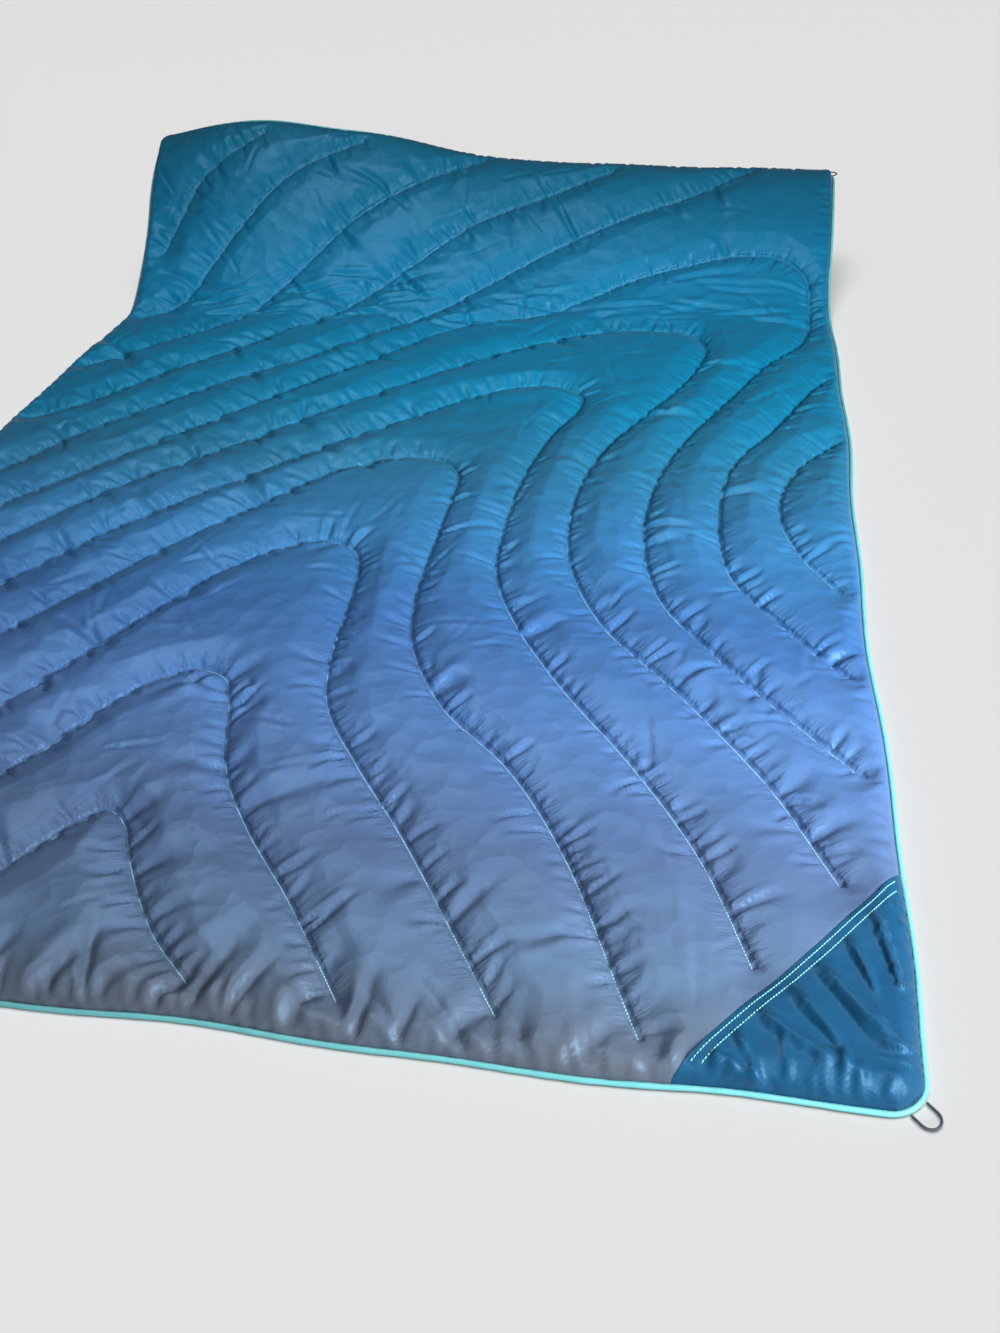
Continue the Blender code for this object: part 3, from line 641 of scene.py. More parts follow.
def relax(x, along, drawn, free, spare, rounds, push):
    """The grid at rest. spare is the extra length of the cloth across and along, as shares."""
    flat = np.stack([x, along], axis=-1)
    points = np.concatenate([flat, drawn[..., None]], axis=-1).astype(np.float32)
    free = free.astype(np.float32)
    held = []
    for down, across, stiffness in ((0, 1, 0.9), (1, 0, 0.9), (1, 1, 0.25), (1, -1, 0.25), (0, 2, 0.12), (2, 0, 0.12)):
        rows, columns = flat.shape[0] - down, flat.shape[1] - abs(across)
        left = max(0, -across)
        here = points[:rows, left : left + columns]
        there = points[down:, left + across : left + across + columns]
        room = [1 + s[:rows, left : left + columns] for s in spare]
        step = (there - here) * np.stack([*room, np.ones_like(room[0])], axis=-1)
        rest = np.zeros(free.shape, np.float32)
        rest[:rows, left : left + columns] = np.linalg.norm(step, axis=-1)
        held.append((down, across, rest, stiffness))
    for _ in range(rounds):
        points[..., 2] += push * free * (drawn - points[..., 2])
        for down, across, rest, stiffness in held:
            hold_length(points, free, down, across, rest, stiffness)
    return points


inset = from_seam(face_x, face_along)
near = 1 - smooth(face_away / 0.030)
foot = 1 - smooth(np.minimum(face_along, LENGTH - face_along) / 0.045)
side = 1 - smooth((half_width(face_along) - np.abs(face_x)) / 0.045)
bend = smooth(1 - np.abs(face_along - 1.53) / 0.11)
spare_across = (0.008 + 0.012 * near + 0.03 * foot) * (1 - under)
spare_along = (0.008 + 0.012 * near + 0.02 * side + 0.03 * bend) * (1 - under)
face_free = ~(face_sewn | (inset < 1e-6))
rounds = 160
face_points = relax(face_x, face_along, face_drawn, face_free, (spare_across, spare_along), rounds, 0.03)
# The face never dips below its valleys, nor rises through the patch.
face_points[..., 2] = np.maximum(face_points[..., 2], EDGE + (VALLEY - EDGE) * smooth(inset / FILL_INSET))
face_points[..., 2] = np.where(under > 0.99, np.minimum(face_points[..., 2], face_under), face_points[..., 2])
print("relaxed heights", np.round(1000 * np.percentile(face_points[..., 2], (1, 25, 50, 75, 99)), 1), "mm")

# %% [markdown]
# ## Making the sheets
# A grid becomes a mesh of triangles, with its places on the cloth kept as a map in metres for the weave and the
# printed fade.

# %% From grid to mesh


def triangles(sewn, flip=False):
    """Splits each square of a grid along the diagonal that keeps the stitching whole."""
    rows, columns = sewn.shape
    index = np.arange(rows * columns).reshape(rows, columns)
    a, b, c, d = index[:-1, :-1], index[:-1, 1:], index[1:, 1:], index[1:, :-1]
    sa, sb, sc, sd = (sewn.ravel()[k] for k in (a, b, c, d))
    odd = (np.add.outer(np.arange(rows - 1), np.arange(columns - 1)) % 2).astype(bool)
    both, other = sa & sc, sb & sd
    through_ac = np.where(both == other, odd, both)
    three = (sa.astype(int) + sb + sc + sd) == 3
    through_ac = np.where(three, ~both, through_ac)
    first = np.where(through_ac[..., None], np.stack([a, b, c], -1), np.stack([a, b, d], -1))
    second = np.where(through_ac[..., None], np.stack([a, c, d], -1), np.stack([b, c, d], -1))
    found = np.concatenate([first.reshape(-1, 3), second.reshape(-1, 3)])
    return found[:, ::-1] if flip else found


def add_mesh(name, points, faces, finish, **maps):
    """A smooth mesh from numbers. Each map gives two numbers for each point, such as its place on the cloth."""
    mesh = bpy.data.meshes.new(name)
    faces = faces.tolist() if isinstance(faces, np.ndarray) else faces
    mesh.from_pydata(np.asarray(points, float).reshape(-1, 3).tolist(), [], faces)
    mesh.shade_smooth()
    corners = np.empty(len(mesh.loops), int)
    mesh.loops.foreach_get("vertex_index", corners)
    for map_name, values in maps.items():
        made = mesh.uv_layers.new(name=map_name)
        made.uv.foreach_set("vector", np.asarray(values, np.float32).reshape(-1, 2)[corners].ravel())
    mesh.materials.append(finish)
    obj = bpy.data.objects.new(name, mesh)
    bpy.context.scene.collection.objects.link(obj)
    return obj


def add_cloth(name, points, faces, finish, flat, beside):
    """A sheet from its relaxed points, with its place on the flat cloth and beside the stitching as maps."""
    return add_mesh(name, lay(*np.moveaxis(points, -1, 0)), faces, finish, cloth=flat, beside_stitching=beside)


face = add_cloth(
    "face_fabric", face_points, triangles(face_sewn), face_taffeta,
    np.stack([face_x, face_along], axis=-1), np.stack([face_walked, face_away], axis=-1),
)
stands_for(face, "face_shell")
print("face", len(face.data.polygons), "triangles")

# %% [markdown]
# ## The back fabric
# The back is the same taffeta in one plain dark colour. It is sewn along the same lines, so it has the same valleys,
# seen from below. Where the blanket lies flat, the floor presses it flat between the rows of stitching; under the
# raised head end it hangs free, and its channels are rounded.

# %% Back fabric
PLAIN_BLUE = ((0.0, "16263a"), (0.5, "16293f"), (1.0, "142a3c"))
back_taffeta = woven_taffeta("calendered_polyester_taffeta_plain", PLAIN_BLUE, 0.42, 0.00006, 0.0020)
BACK_VALLEY = 0.0024  # how high the stitching holds the back over the floor
SAG = 0.005  # how far the middle of a channel hangs down where nothing is under it
back_x, back_along, back_sewn, back_away, back_walked = sewn_grid(BACK_SPACING)
hangs = smooth((back_along - 1.56) / 0.12)
back_inset = from_seam(back_x, back_along)
channel = rounded(back_away / HALF_CHANNEL)
held_up = BACK_VALLEY * (1 - channel) - SAG * hangs * channel * smooth(back_inset / 0.03)
back_drawn = held_up * np.where(back_inset < 0.01, back_inset / 0.01, 1.0)
crease_lines(back_drawn, back_x, back_along, 0.030, 0.050, 0.0018)
back_free = ~(back_sewn | (back_inset < 1e-6))
back_spare = 0.012 + 0.02 * (1 - smooth(back_away / 0.03))
rounds = 100
back_points = relax(back_x, back_along, back_drawn, back_free, (back_spare, back_spare), rounds, 0.04)
back_points[..., 2] = np.clip(back_points[..., 2], -0.007 * hangs, 0.0030)
back = add_cloth(
    "back_fabric", back_points, triangles(back_sewn, flip=True), back_taffeta,
    np.stack([back_x, back_along], axis=-1), np.stack([back_walked, back_away], axis=-1),
)
stands_for(back, "back_shell")
print("back", len(back.data.polygons), "triangles")

# %% [markdown]
# ## The batting
# Inside lies a sheet of polyester wadding. It fills the channels, is pinched thin under the stitching, and stops
# short of the seam. Nobody sees it while the blanket is whole, but the assembly has it, so it is made to fit: at
# each place it keeps just inside the lowest face and the highest back nearby.

# %% Batting
GAP = 0.0003


def lowest_near(values, reach):
    """Each point's lowest value within some steps of the grid."""
    for axis in (0, 1):
        values = np.min([np.roll(values, step, axis=axis) for step in range(-reach, reach + 1)], axis=0)
    return values


def sample(values, x, along, wanted_x, wanted_along):
    """A grid's value at its point nearest to each wanted place."""
    i = nearest_index(along[:, x.shape[1] // 2], wanted_along)
    j = nearest_index(np.linspace(-1, 1, x.shape[1]), wanted_x / half_width(wanted_along))
    return values[i, j]


fill_share = np.linspace(-1, 1, 131)
fill_rows = np.linspace(FILL_INSET, LENGTH - FILL_INSET, 189)
fill_x = fill_share[None] * (half_width(fill_rows) - FILL_INSET)[:, None]
fill_along = np.repeat(fill_rows[:, None], len(fill_share), axis=1)
roof = sample(lowest_near(face_points[..., 2], 5), face_x, face_along, fill_x, fill_along)
ground = -sample(lowest_near(-back_points[..., 2], 2), back_x, back_along, fill_x, fill_along)
fill_low = ground + GAP
fill_high = np.maximum(roof - GAP, fill_low + GAP)
fill_index = np.arange(fill_x.size).reshape(fill_x.shape)
rim = np.concatenate([fill_index[0, :-1], fill_index[:-1, -1], fill_index[-1, :0:-1], fill_index[:0:-1, 0]])
plain = np.zeros(fill_x.shape, bool)
upper, lower = triangles(plain), triangles(plain, flip=True) + fill_x.size
after = np.roll(rim, -1)
wall_low = np.stack([rim, rim + fill_x.size, after], axis=-1)
wall_high = np.stack([after, rim + fill_x.size, after + fill_x.size], axis=-1)
wadding, tree = new_material("polyester_wadding")
fibres = add_node(tree, "TexNoise", Scale=400.0, Detail=4.0)
lofty = add_node(tree, "Bump", Strength=0.6, Distance=0.0008, Height=fibres.outputs["Fac"])
shade = add_node(tree, "MixRGB", Fac=fibres.outputs["Fac"], Color1=linear("e6e6e2"), Color2=linear("f4f4f0"))
shader = add_node(tree, "BsdfPrincipled", Base_Color=shade.outputs[0], Roughness=0.95, Normal=lofty.outputs[0])
finish_material(tree, shader)
batting_points = [lay(fill_x, fill_along, height) for height in (fill_high, fill_low)]
batting = add_mesh("batting", batting_points, np.concatenate([upper, lower, wall_low, wall_high]), wadding)
stands_for(batting, "insulation")
print("batting", round(1000 * float((fill_high - fill_low).mean()), 1), "mm thick on average")

# %% [markdown]
# ## Thread
# Lockstitch shows as a row of short dashes, one on each side of the cloth, where the thread dips into its needle
# holes. Each dash is a short six-sided tube that is thickest in the middle and sinks at both ends. All the dashes of
# a row are worked out at once, as one set of numbers.

# %% Stitches
THREAD_RADIUS = 0.0006


def polyester_thread(name, stops):
    made, tree = new_material(name)
    cloth = add_node(tree, "UVMap", {"uv_map": CLOTH_MAP}).outputs["UV"]
    split = add_node(tree, "SeparateXYZ", Vector=cloth)
    share = add_node(tree, "Math", {"operation": "DIVIDE"}, _0=split.outputs["Y"], _1=LENGTH)
    colour = add_node(tree, "ValToRGB", {"stops": stops}, Fac=share.outputs[0]).outputs["Color"]
    fibres = add_node(tree, "TexNoise", Vector=cloth, Scale=900.0, Detail=2.0)
    fuzzy = add_node(tree, "Bump", Strength=0.5, Distance=0.0002, Height=fibres.outputs["Fac"]).outputs[0]
    shader = add_node(tree, "BsdfPrincipled", Base_Color=colour, Roughness=0.45, Normal=fuzzy, Sheen_Weight=0.3)
    finish_material(tree, shader)
    return made


def stitches(line, height, pitch, share=0.82, radius=THREAD_RADIUS, side=1):
    """The points, faces and cloth places of a row of stitches. height is a function of places on the cloth."""
    walked = np.arange(len(line)) * LINE_STEP
    middles = np.arange(pitch / 2, walked[-1], pitch)
    along_stitch = np.array([-1, -0.72, 0, 0.72, 1]) * share * pitch / 2
    sinks = np.array([-1.3, -0.35, 0.25, -0.35, -1.3]) * radius
    thick = np.array([0.45, 0.9, 1.0, 0.9, 0.45]) * radius
    at = np.clip(middles[:, None] + along_stitch, 0, walked[-1])
    x, along = (np.interp(at, walked, line[:, k]) for k in (0, 1))
    centres = lay(x, along, height(x, along) + side * sinks)
    ahead = centres[:, -1:] - centres[:, :1]
    ahead /= np.linalg.norm(ahead, axis=-1, keepdims=True)
    up = look_up(table_up, x, along)
    across = np.cross(ahead, up)
    across /= np.linalg.norm(across, axis=-1, keepdims=True)
    up = np.cross(across, ahead)
    turns = np.arange(6) * math.pi / 3
    ring = across[:, :, None] * np.cos(turns)[:, None] + up[:, :, None] * np.sin(turns)[:, None]
    points = centres[:, :, None] + ring * thick[:, None, None]
    count, rings, sides = points.shape[:3]
    index = np.arange(points[..., 0].size).reshape(count, rings, sides)
    a, b = index[:, :-1], index[:, 1:]
    walls = np.stack([a, np.roll(a, -1, axis=2), np.roll(b, -1, axis=2), b], axis=-1).reshape(-1, 4)
    caps = [*index[:, 0, ::-1].tolist(), *index[:, -1].tolist()]
    cloth = np.stack([np.broadcast_to(v[..., None], points.shape[:3]) for v in (x, along)], axis=-1)
    return points.reshape(-1, 3), [*walls.tolist(), *caps], cloth.reshape(-1, 2)


def add_parts(name, parts, finish):
    """One mesh from several sets of points, faces and cloth places."""
    points, faces, cloth = zip(*parts)
    starts = np.cumsum([0, *map(len, points)]).tolist()
    moved = [[v + start for v in face] for start, part in zip(starts, faces) for face in part]
    return add_mesh(name, np.concatenate(points), moved, finish, cloth=np.concatenate(cloth))


QUILT_PITCH = 0.0036
# The quilting thread goes from pale aqua at the foot to dark teal at the head. The darkening towards the middle and the
# head is painted shade: it stands for the shaded valleys that hide the thread there.
AQUA_WITH_VALLEY_SHADE = ((0.0, "74a6b4"), (0.2, "6398b4"), (0.35, "447fa4"), (0.6, "1c5f80"), (1.0, "0f4258"))
quilting_thread = polyester_thread("polyester_thread_aqua_painted_valley_shade", AQUA_WITH_VALLEY_SHADE)
for number, line in enumerate(lines, 1):
    on_face = stitches(line, lambda x, along: np.full(x.shape, VALLEY + 0.0007), QUILT_PITCH)
    on_back = stitches(line, lambda x, along: np.full(x.shape, BACK_VALLEY - 0.0003), QUILT_PITCH, side=-1)
    row = add_parts(f"quilting_stitches_{number:02d}", [on_face, on_back], quilting_thread)
    stands_for(row, f"quilt_stitch_{number:02d}")
print("stitches in the longest row:", max(len(line) for line in lines) * LINE_STEP // QUILT_PITCH)

# %% [markdown]
# ## Corner patch
# A triangle of glossier teal cloth is sewn over the foot's right corner by its slanted edge, and its other two edges
# run into the seam. It is a little too big for its place, so it folds, mostly from the slanted edge towards the
# corner. Its grid has rows along the slanted edge, so that two of them are the rows of topstitching.

# %% Patch
PATCH_ROWS = (0.004, 0.011)
PATCH_DEPTH = float((np.array([WIDTH / 2, 0.0]) - on_foot) @ to_corner)
inner_rows = np.arange(0.0138, PATCH_DEPTH * 0.985, 0.0028)
row_depths = np.array([0.0, 0.002, PATCH_ROWS[0], 0.0075, PATCH_ROWS[1], *inner_rows])
row_shares = row_depths / PATCH_DEPTH
column_shares = np.linspace(0, 1, 109)
corner = np.array([WIDTH / 2, 0.0])
row_from = on_foot + row_shares[:, None] * (corner - on_foot)
row_to = on_side + row_shares[:, None] * (corner - on_side)
patch_flat = row_from[:, None] + column_shares[None, :, None] * (row_to - row_from)[:, None]
# Points outside the corner's arc are brought in to it.
arc = np.array([WIDTH / 2 - CORNER_RADIUS, CORNER_RADIUS])
off = (patch_flat - arc) * [[[1, -1]]]
away = np.linalg.norm(off, axis=-1)
outside = (off[..., 0] > 0) & (off[..., 1] > 0) & (away > CORNER_RADIUS)
on_arc = arc + (patch_flat - arc) * (CORNER_RADIUS / np.maximum(away, 1e-9))[..., None]
patch_flat = np.where(outside[..., None], on_arc, patch_flat)
patch_x, patch_along = patch_flat[..., 0], patch_flat[..., 1]

OVER_FACE = 0.0007
patch_base = loft(patch_x, patch_along, from_lines(patch_x, patch_along)[0]) + OVER_FACE
patch_drawn = patch_base.copy()


def fold(height, x, along, start, heading, length, width, depth, bow):
    """A soft fold: a ridge with a shadowed groove beside it, drawn over a whole small grid."""
    heading = np.array(heading) / np.linalg.norm(heading)
    dx, dy = x - start[0], along - start[1]
    forward = dx * heading[0] + dy * heading[1]
    across = dy * heading[0] - dx * heading[1] + bow * forward**2 / length
    fade = smooth(forward / (0.25 * length)) * smooth((length - forward) / (0.5 * length))
    groove = 0.8 * np.exp(-(((across - 1.9 * width) / width) ** 2))
    height += depth * fade * (np.exp(-((across / width) ** 2)) - groove)


FOLDS = (  # start on the cloth, heading, length, width, height, bow
    ((0.490, 0.020), (0.50, -0.20), 0.060, 0.006, 0.00450, 0.1),
    ((0.512, 0.046), (0.45, -0.75), 0.085, 0.006, 0.00600, 0.2),
    ((0.528, 0.066), (0.85, -0.75), 0.100, 0.007, 0.00675, -0.2),
    ((0.553, 0.096), (0.80, -0.85), 0.120, 0.008, 0.00825, 0.2),
    ((0.578, 0.126), (0.55, -0.95), 0.130, 0.009, 0.00900, -0.15),
    ((0.602, 0.155), (0.45, -1.00), 0.120, 0.007, 0.00750, 0.15),
    ((0.625, 0.185), (0.30, -1.00), 0.110, 0.006, 0.00600, 0.1),
)
for shape in FOLDS:
    fold(patch_drawn, patch_x, patch_along, *shape)
GATHER_WIDTH = 0.004
for k in range(11):
    start = (0.485 + 0.014 * k + luck.uniform(-0.004, 0.004), 0.002)
    fold(patch_drawn, patch_x, patch_along, start, (luck.uniform(-0.3, 0.4), 1), luck.uniform(0.025, 0.05),
         GATHER_WIDTH, luck.uniform(0.0010, 0.0024), 0.0)
for k in range(12):
    start = (0.658, 0.035 + 0.015 * k + luck.uniform(-0.004, 0.004))
    fold(patch_drawn, patch_x, patch_along, start, (-1, luck.uniform(-0.4, 0.3)), luck.uniform(0.02, 0.045),
         GATHER_WIDTH, luck.uniform(0.0010, 0.0026), 0.0)
patch_sewn = np.zeros(patch_x.shape, bool)
patch_sewn[[0, 2, 4, -1]] = True
patch_sewn[:, [0, -1]] = True
patch_drawn[patch_sewn] = patch_base[patch_sewn]
patch_spare = np.full(patch_x.shape, 0.035)
patch_points = relax(patch_x, patch_along, patch_drawn, ~patch_sewn, (patch_spare, patch_spare), 120, 0.05)
patch_points[..., 2] = np.maximum(patch_points[..., 2], patch_base)
DEEP_TEAL = ((0.0, "0e3855"), (1.0, "103d5c"))
satin = woven_taffeta("glossy_polyester_satin", DEEP_TEAL, 0.42, 0.00002, 0.0)
plain = np.zeros(patch_x.shape, bool)
patch = add_cloth("patch_fabric", patch_points, triangles(plain), satin, patch_flat, patch_flat)
if patch.data.polygons[len(patch.data.polygons) // 2].normal.z < 0:
    patch.data.flip_normals()
stands_for(patch, "corner_patch")
mint_thread = polyester_thread("polyester_thread_mint", ((0.0, "62a6a4"), (1.0, "62a6a4")))
TOPSTITCH_PITCH = 0.0034
for number, depth in enumerate(PATCH_ROWS, 1):
    row_line = evenly(patch_flat[2 * number, 5:-5], LINE_STEP)
    row_height = patch_base[2 * number]
    by_x = patch_flat[2 * number, :, 0]
    dashes = stitches(row_line, lambda x, along: np.interp(x, by_x, row_height) + 0.0004, TOPSTITCH_PITCH)
    row = add_parts(f"patch_stitches_{number}", [dashes], mint_thread)
    stands_for(row, f"patch_topstitch_{number}")

# %% [markdown]
# ## Piping
# The edge is closed by a corded piping: a bias-cut strip folded over a cord and caught in the seam. It is a tube
# with the slight unevenness of a strip eased round a cord. Sweeping rings of points along a path gives that, and the
# same function makes the loops' cord later.

# %% Piping
PIPING_RADIUS, PIPING_SIDES = 0.0025, 12
UNEVEN = 0.16  # how much the strip bulges and dips, as a share of the radius


def sweep(path, ups, radius, sides, closed):
    """Rings of points along a path. radius is a grid: one value for each ring and each side."""
    ahead = np.roll(path, -1, axis=0) - np.roll(path, 1, axis=0)
    if not closed:
        ahead[0], ahead[-1] = path[1] - path[0], path[-1] - path[-2]
    ahead /= np.linalg.norm(ahead, axis=1, keepdims=True)
    across = np.cross(ahead, ups)
    across /= np.linalg.norm(across, axis=1, keepdims=True)
    rise = np.cross(across, ahead)
    turns = 2 * math.pi * np.arange(sides) / sides
    ring = across[:, None] * np.cos(turns)[:, None] + rise[:, None] * np.sin(turns)[:, None]
    points = path[:, None] + ring * radius[..., None]
    index = np.arange(len(path) * sides).reshape(len(path), sides)
    a, b = (index, np.roll(index, -1, axis=0)) if closed else (index[:-1], index[1:])
    walls = np.stack([a, np.roll(a, -1, axis=1), np.roll(b, -1, axis=1), b], axis=-1).reshape(-1, 4).tolist()
    if not closed:
        walls += [index[0, ::-1].tolist(), index[-1].tolist()]
    walked = np.concatenate([[0], np.cumsum(np.linalg.norm(np.diff(path, axis=0), axis=1))])
    cloth = np.stack(np.broadcast_arrays(turns[None] * radius.mean(), walked[:, None]), axis=-1)
    return points.reshape(-1, 3), walls, cloth.reshape(-1, 2)


def outline(outward, step):
    """The seam's outline moved outward, as close places on the cloth."""
    radius = CORNER_RADIUS + outward
    found = []
    for k, (side, end) in enumerate(((1, 0), (1, LENGTH), (-1, LENGTH), (-1, 0))):
        centre = np.array([side * (WIDTH / 2 - CORNER_RADIUS), abs(end - CORNER_RADIUS)])
        turns = np.radians(np.linspace(-90, 0, 13) + 90 * k)
        found += [centre + radius * np.array([math.cos(t), math.sin(t)]) for t in turns]
    return evenly(np.array([*found, found[0]]), step)[:-1]


rim_places = outline(0.0022, 0.0036)
rim_path = lay(rim_places[:, 0], rim_places[:, 1], np.full(len(rim_places), PIPING_RADIUS))
rim_up = look_up(table_up, rim_places[:, 0], rim_places[:, 1])
gather = luck.normal(size=(len(rim_path), PIPING_SIDES))
for axis in (0, 1, 0, 1):
    gather = (np.roll(gather, 1, axis=axis) + gather + np.roll(gather, -1, axis=axis)) / 3
piping_cloth, tree = new_material("bias_cut_polyester_piping")
cloth = add_node(tree, "UVMap", {"uv_map": CLOTH_MAP}).outputs["UV"]
twill = add_node(tree, "TexWave", {"bands_direction": "DIAGONAL"}, Vector=cloth, Scale=420.0)
worn = add_node(tree, "TexNoise", Vector=cloth, Scale=30.0, Detail=4.0)
tone = add_node(tree, "MixRGB", Fac=worn.outputs["Fac"], Color1=linear("468a90"), Color2=linear("5c9ea2"))
ribbed = add_node(tree, "Bump", Strength=0.5, Distance=0.00015, Height=twill.outputs["Fac"])
shader = add_node(tree, "BsdfPrincipled", Base_Color=tone.outputs[0], Roughness=0.5, Normal=ribbed.outputs[0])
finish_material(tree, shader)
tube = sweep(rim_path, rim_up, PIPING_RADIUS * (1 + UNEVEN * gather), PIPING_SIDES, True)
piping = add_parts("piping", [tube], piping_cloth)
stands_for(piping, "edge_piping")

# %% [markdown]
# ## Closing seam
# The two fabrics are joined by one more row of stitches, 6 mm in from the piping, between the layers.

# %% Closing seam
SEAM_INSET = 0.006
seam_places = outline(-SEAM_INSET, LINE_STEP)
dark_thread = polyester_thread("polyester_thread_dark", ((0.0, "1a2c3c"), (1.0, "173848")))
in_seam = stitches(seam_places, lambda x, along: np.full(x.shape, 0.0022), 0.0030, radius=0.0005)
seam = add_parts("closing_seam_stitches", [in_seam], dark_thread)
stands_for(seam, "closing_seam_thread")

# %% [markdown]
# ## Corner loops
# Three corners have a short loop of braided cord, to peg or clip the blanket down. Each turns on the line through
# its two sewn ends, which is its joint in the CAD model, so its place and direction are read from the joint. A braid
# is two sets of strands that wind opposite ways and cross over each other; the product of two slanting waves gives
# the radius that bumpy look.

# %% Loops
LOOP_RADIUS, LOOP_REACH, ROOT_HALF = 0.0011, 0.018, 0.0089
SUNK, BRAID_PITCH, RING_STEP, SIDES = 0.0009, 0.0042, 0.0004, 16
braid, tree = new_material("braided_polyester_cord")
cloth = add_node(tree, "UVMap", {"uv_map": CLOTH_MAP}).outputs["UV"]
speckle = add_node(tree, "TexNoise", Vector=cloth, Scale=900.0, Detail=3.0)
tone = add_node(tree, "MixRGB", Fac=speckle.outputs["Fac"], Color1=linear("181c22"), Color2=linear("343b44"))
rough = add_node(tree, "Bump", Strength=0.4, Distance=0.0001, Height=speckle.outputs["Fac"])
shader = add_node(tree, "BsdfPrincipled", Base_Color=tone.outputs[0], Roughness=0.6, Normal=rough.outputs[0])
finish_material(tree, shader)

# A loop's path on its own flat plane: two straight legs and half a circle.
bow = LOOP_REACH - ROOT_HALF
leg = [(-ROOT_HALF, v) for v in np.linspace(-SUNK, bow, 16, endpoint=False)]
half_turn = np.linspace(math.pi, 0, 40)
arc_points = zip(ROOT_HALF * np.cos(half_turn), bow + ROOT_HALF * np.sin(half_turn))
flat_path = np.array([*leg, *arc_points, *[(-s, o) for s, o in leg[::-1]]])
for joint in frame["joints"]:
    axis, middle = np.array(joint["axis"]), np.array(joint["pos_m"])
    axis /= np.linalg.norm(axis)
    lift = look_up(table_up, np.array([middle[0]]), np.array([LENGTH if middle[1] > 0 else 0.0]))[0]
    out = np.cross(lift, axis)
    out /= np.linalg.norm(out)
    path = evenly(middle + flat_path[:, :1] * axis + flat_path[:, 1:] * out, RING_STEP)
    walked = np.arange(len(path)) * RING_STEP
    turned = 4 * 2 * math.pi * np.arange(SIDES) / SIDES
    wound = 2 * math.pi * walked[:, None] / BRAID_PITCH
    strands = np.sin(turned[None] + wound) * np.sin(turned[None] - wound)
    ends = np.clip(np.minimum(walked, walked[-1] - walked) / LOOP_RADIUS, 0, 1)[:, None]
    thickness = LOOP_RADIUS * (0.94 + 0.06 * strands) * np.sqrt(0.1 + 0.9 * (1 - (1 - ends) ** 2))
    name = joint["child"]
    tube = sweep(path, np.repeat(lift[None], len(path), axis=0), thickness, SIDES, False)
    loop = add_parts(f"cord_{name}", [tube], braid)
    stands_for(loop, "corner_" + name, body=name)
    print(name, "cord", round(1000 * walked[-1]), "mm long")

# %% [markdown]
# ## Floor and light
# The blanket lies on a plain pale floor, under a pale backdrop. A softbox beyond the foot's right corner lights the
# folds from low down, another over the head end gives the silk its sheen, and a sun from the foot end fills in. A
# thin shiny cloth glares white when it is seen against a low light, so the low lights give only soft shading, and a
# weaker lamp at the same place gives the glints alone.

# %% Stage
bpy.ops.mesh.primitive_plane_add(size=80, location=(0, 0, -0.0004))  # just clear of the back's lowest threads
floor = bpy.context.object
floor.name = "floor"
paint, tree = new_material("matt_studio_paint")
grain = add_node(tree, "TexNoise", Scale=3.0, Detail=2.0)
tone = add_node(tree, "MapRange", Value=grain.outputs["Fac"], To_Min=0.84, To_Max=0.87)
grey = add_node(tree, "CombineColor", Red=tone.outputs[0], Green=tone.outputs[0], Blue=tone.outputs[0])
finish_material(tree, add_node(tree, "BsdfPrincipled", Base_Color=grey.outputs[0], Roughness=0.8))
floor.data.materials.append(paint)

world = bpy.data.worlds.new("studio")
bpy.context.scene.world = world
world.use_nodes = True
# The backdrop looks pale, but adds only a little light of its own.
seen = add_node(world.node_tree, "LightPath")
strength = add_node(world.node_tree, "MapRange", Value=seen.outputs["Is Camera Ray"], To_Min=0.06, To_Max=0.70)
backdrop = world.node_tree.nodes["Background"]
backdrop.inputs["Color"].default_value = (0.96, 0.98, 1.0, 1.0)
world.node_tree.links.new(strength.outputs[0], backdrop.inputs["Strength"])
bpy.context.scene.view_settings.view_transform = "Standard"


# %% Lights


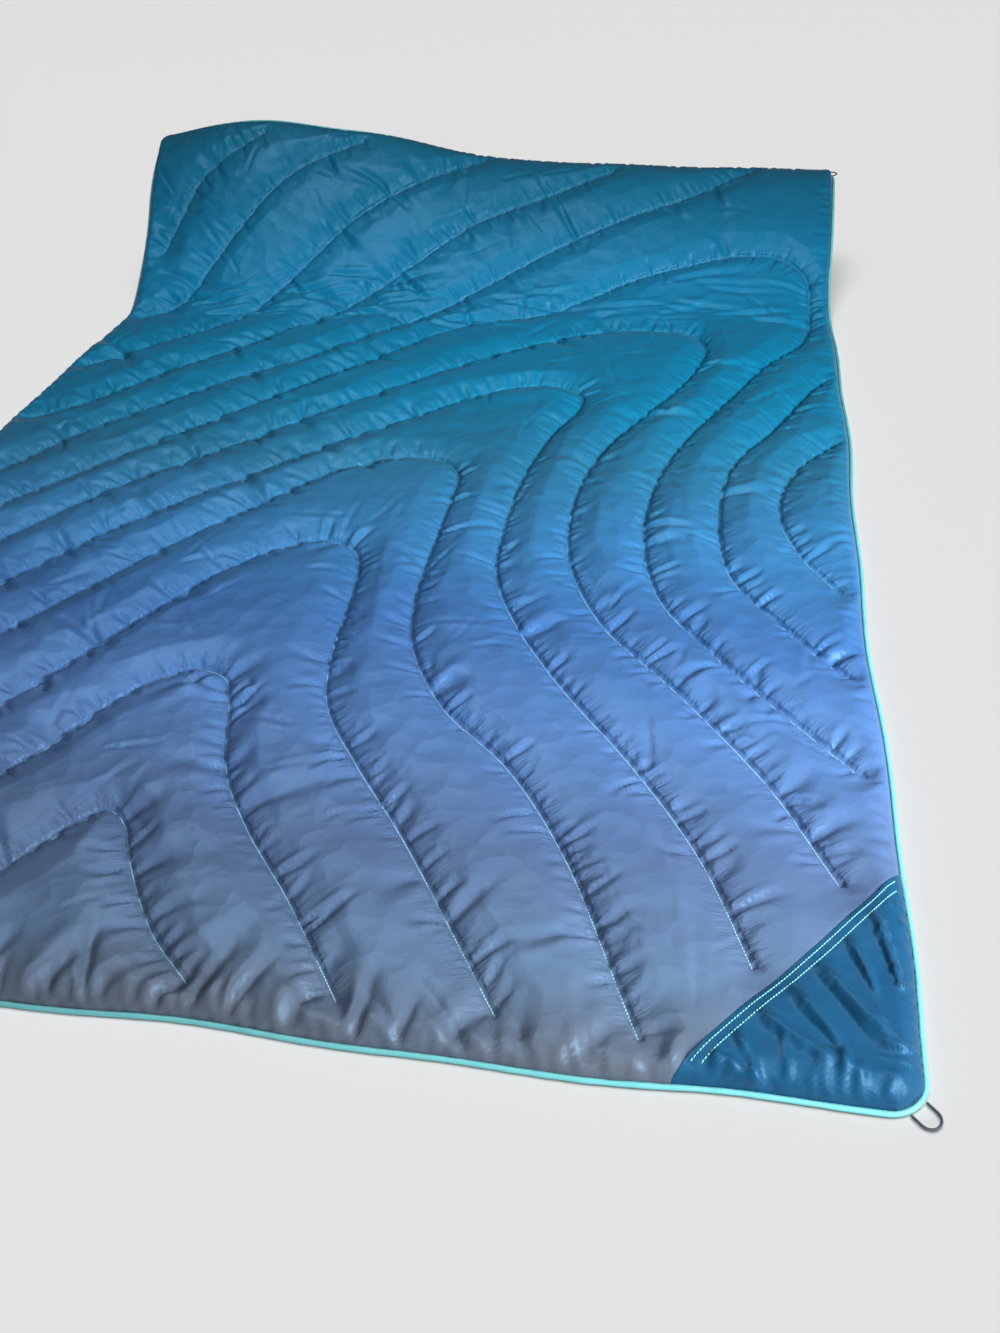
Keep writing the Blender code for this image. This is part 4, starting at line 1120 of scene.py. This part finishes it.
def add_light(name, kind, power):
    data = bpy.data.lights.new(name, kind)
    data.energy = power
    obj = bpy.data.objects.new(name, data)
    bpy.context.scene.collection.objects.link(obj)
    return obj


def add_softbox(name, at, aim, size, power, colour, spread=180):
    """A soft rectangle of light. spread is the angle it shines into, in degrees."""
    obj = add_light(name, "AREA", power)
    obj.data.shape, obj.data.color, obj.data.spread = "RECTANGLE", colour, math.radians(spread)
    obj.data.size, obj.data.size_y = size
    way = np.array(aim, float) - np.array(at, float)
    back = -way / np.linalg.norm(way)
    across = np.cross((0, 0, 1), back)
    across /= np.linalg.norm(across)
    turned = Matrix([across, np.cross(back, across), back]).transposed().to_4x4()
    obj.matrix_world = Matrix.Translation(at) @ turned
    return obj


def add_sun(name, way, strength, angle):
    """A light from far away, which reaches the whole floor alike. way points from the floor to the light."""
    obj = add_light(name, "SUN", strength)
    obj.data.angle = math.radians(angle)
    obj.rotation_euler = Vector(way).to_track_quat("Z", "Y").to_euler()
    return obj


LOW_RIGHT = ((1.50, -1.40, 1.0), (0.40, -0.05, 0.0), (0.6, 0.6))
NEUTRAL, WARM = (1.0, 0.99, 0.97), (1.0, 0.97, 0.97)
side_box = add_softbox("side_softbox", *LOW_RIGHT, 40, NEUTRAL, spread=100)
side_box.visible_glossy = False
glints = add_softbox("glint_softbox", *LOW_RIGHT, 20, NEUTRAL, spread=100)
glints.visible_diffuse = False
head_box = add_softbox("head_softbox", (-0.45, 0.20, 2.3), (0.15, -0.8, 0.0), (0.9, 0.5), 23, WARM)
key = add_sun("key", (0.30, -0.94, 0.42), 0.62, 10)
key.visible_glossy = False
add_sun("overhead", (0.0, 0.0, 1.0), 0.12, 70)
floor_sun = add_sun("floor_light", (0.0, 0.0, 1.0), 2.3, 60)
# The softboxes would leave bright pools on the floor, so the floor has its own even light instead.
for light, state in ((side_box, "EXCLUDE"), (glints, "EXCLUDE"), (head_box, "EXCLUDE"), (floor_sun, "INCLUDE")):
    reached = bpy.data.collections.new(f"{light.name}_on_floor")
    reached.objects.link(floor)
    reached.collection_objects[0].light_linking.link_state = state
    light.light_linking.receiver_collection = reached
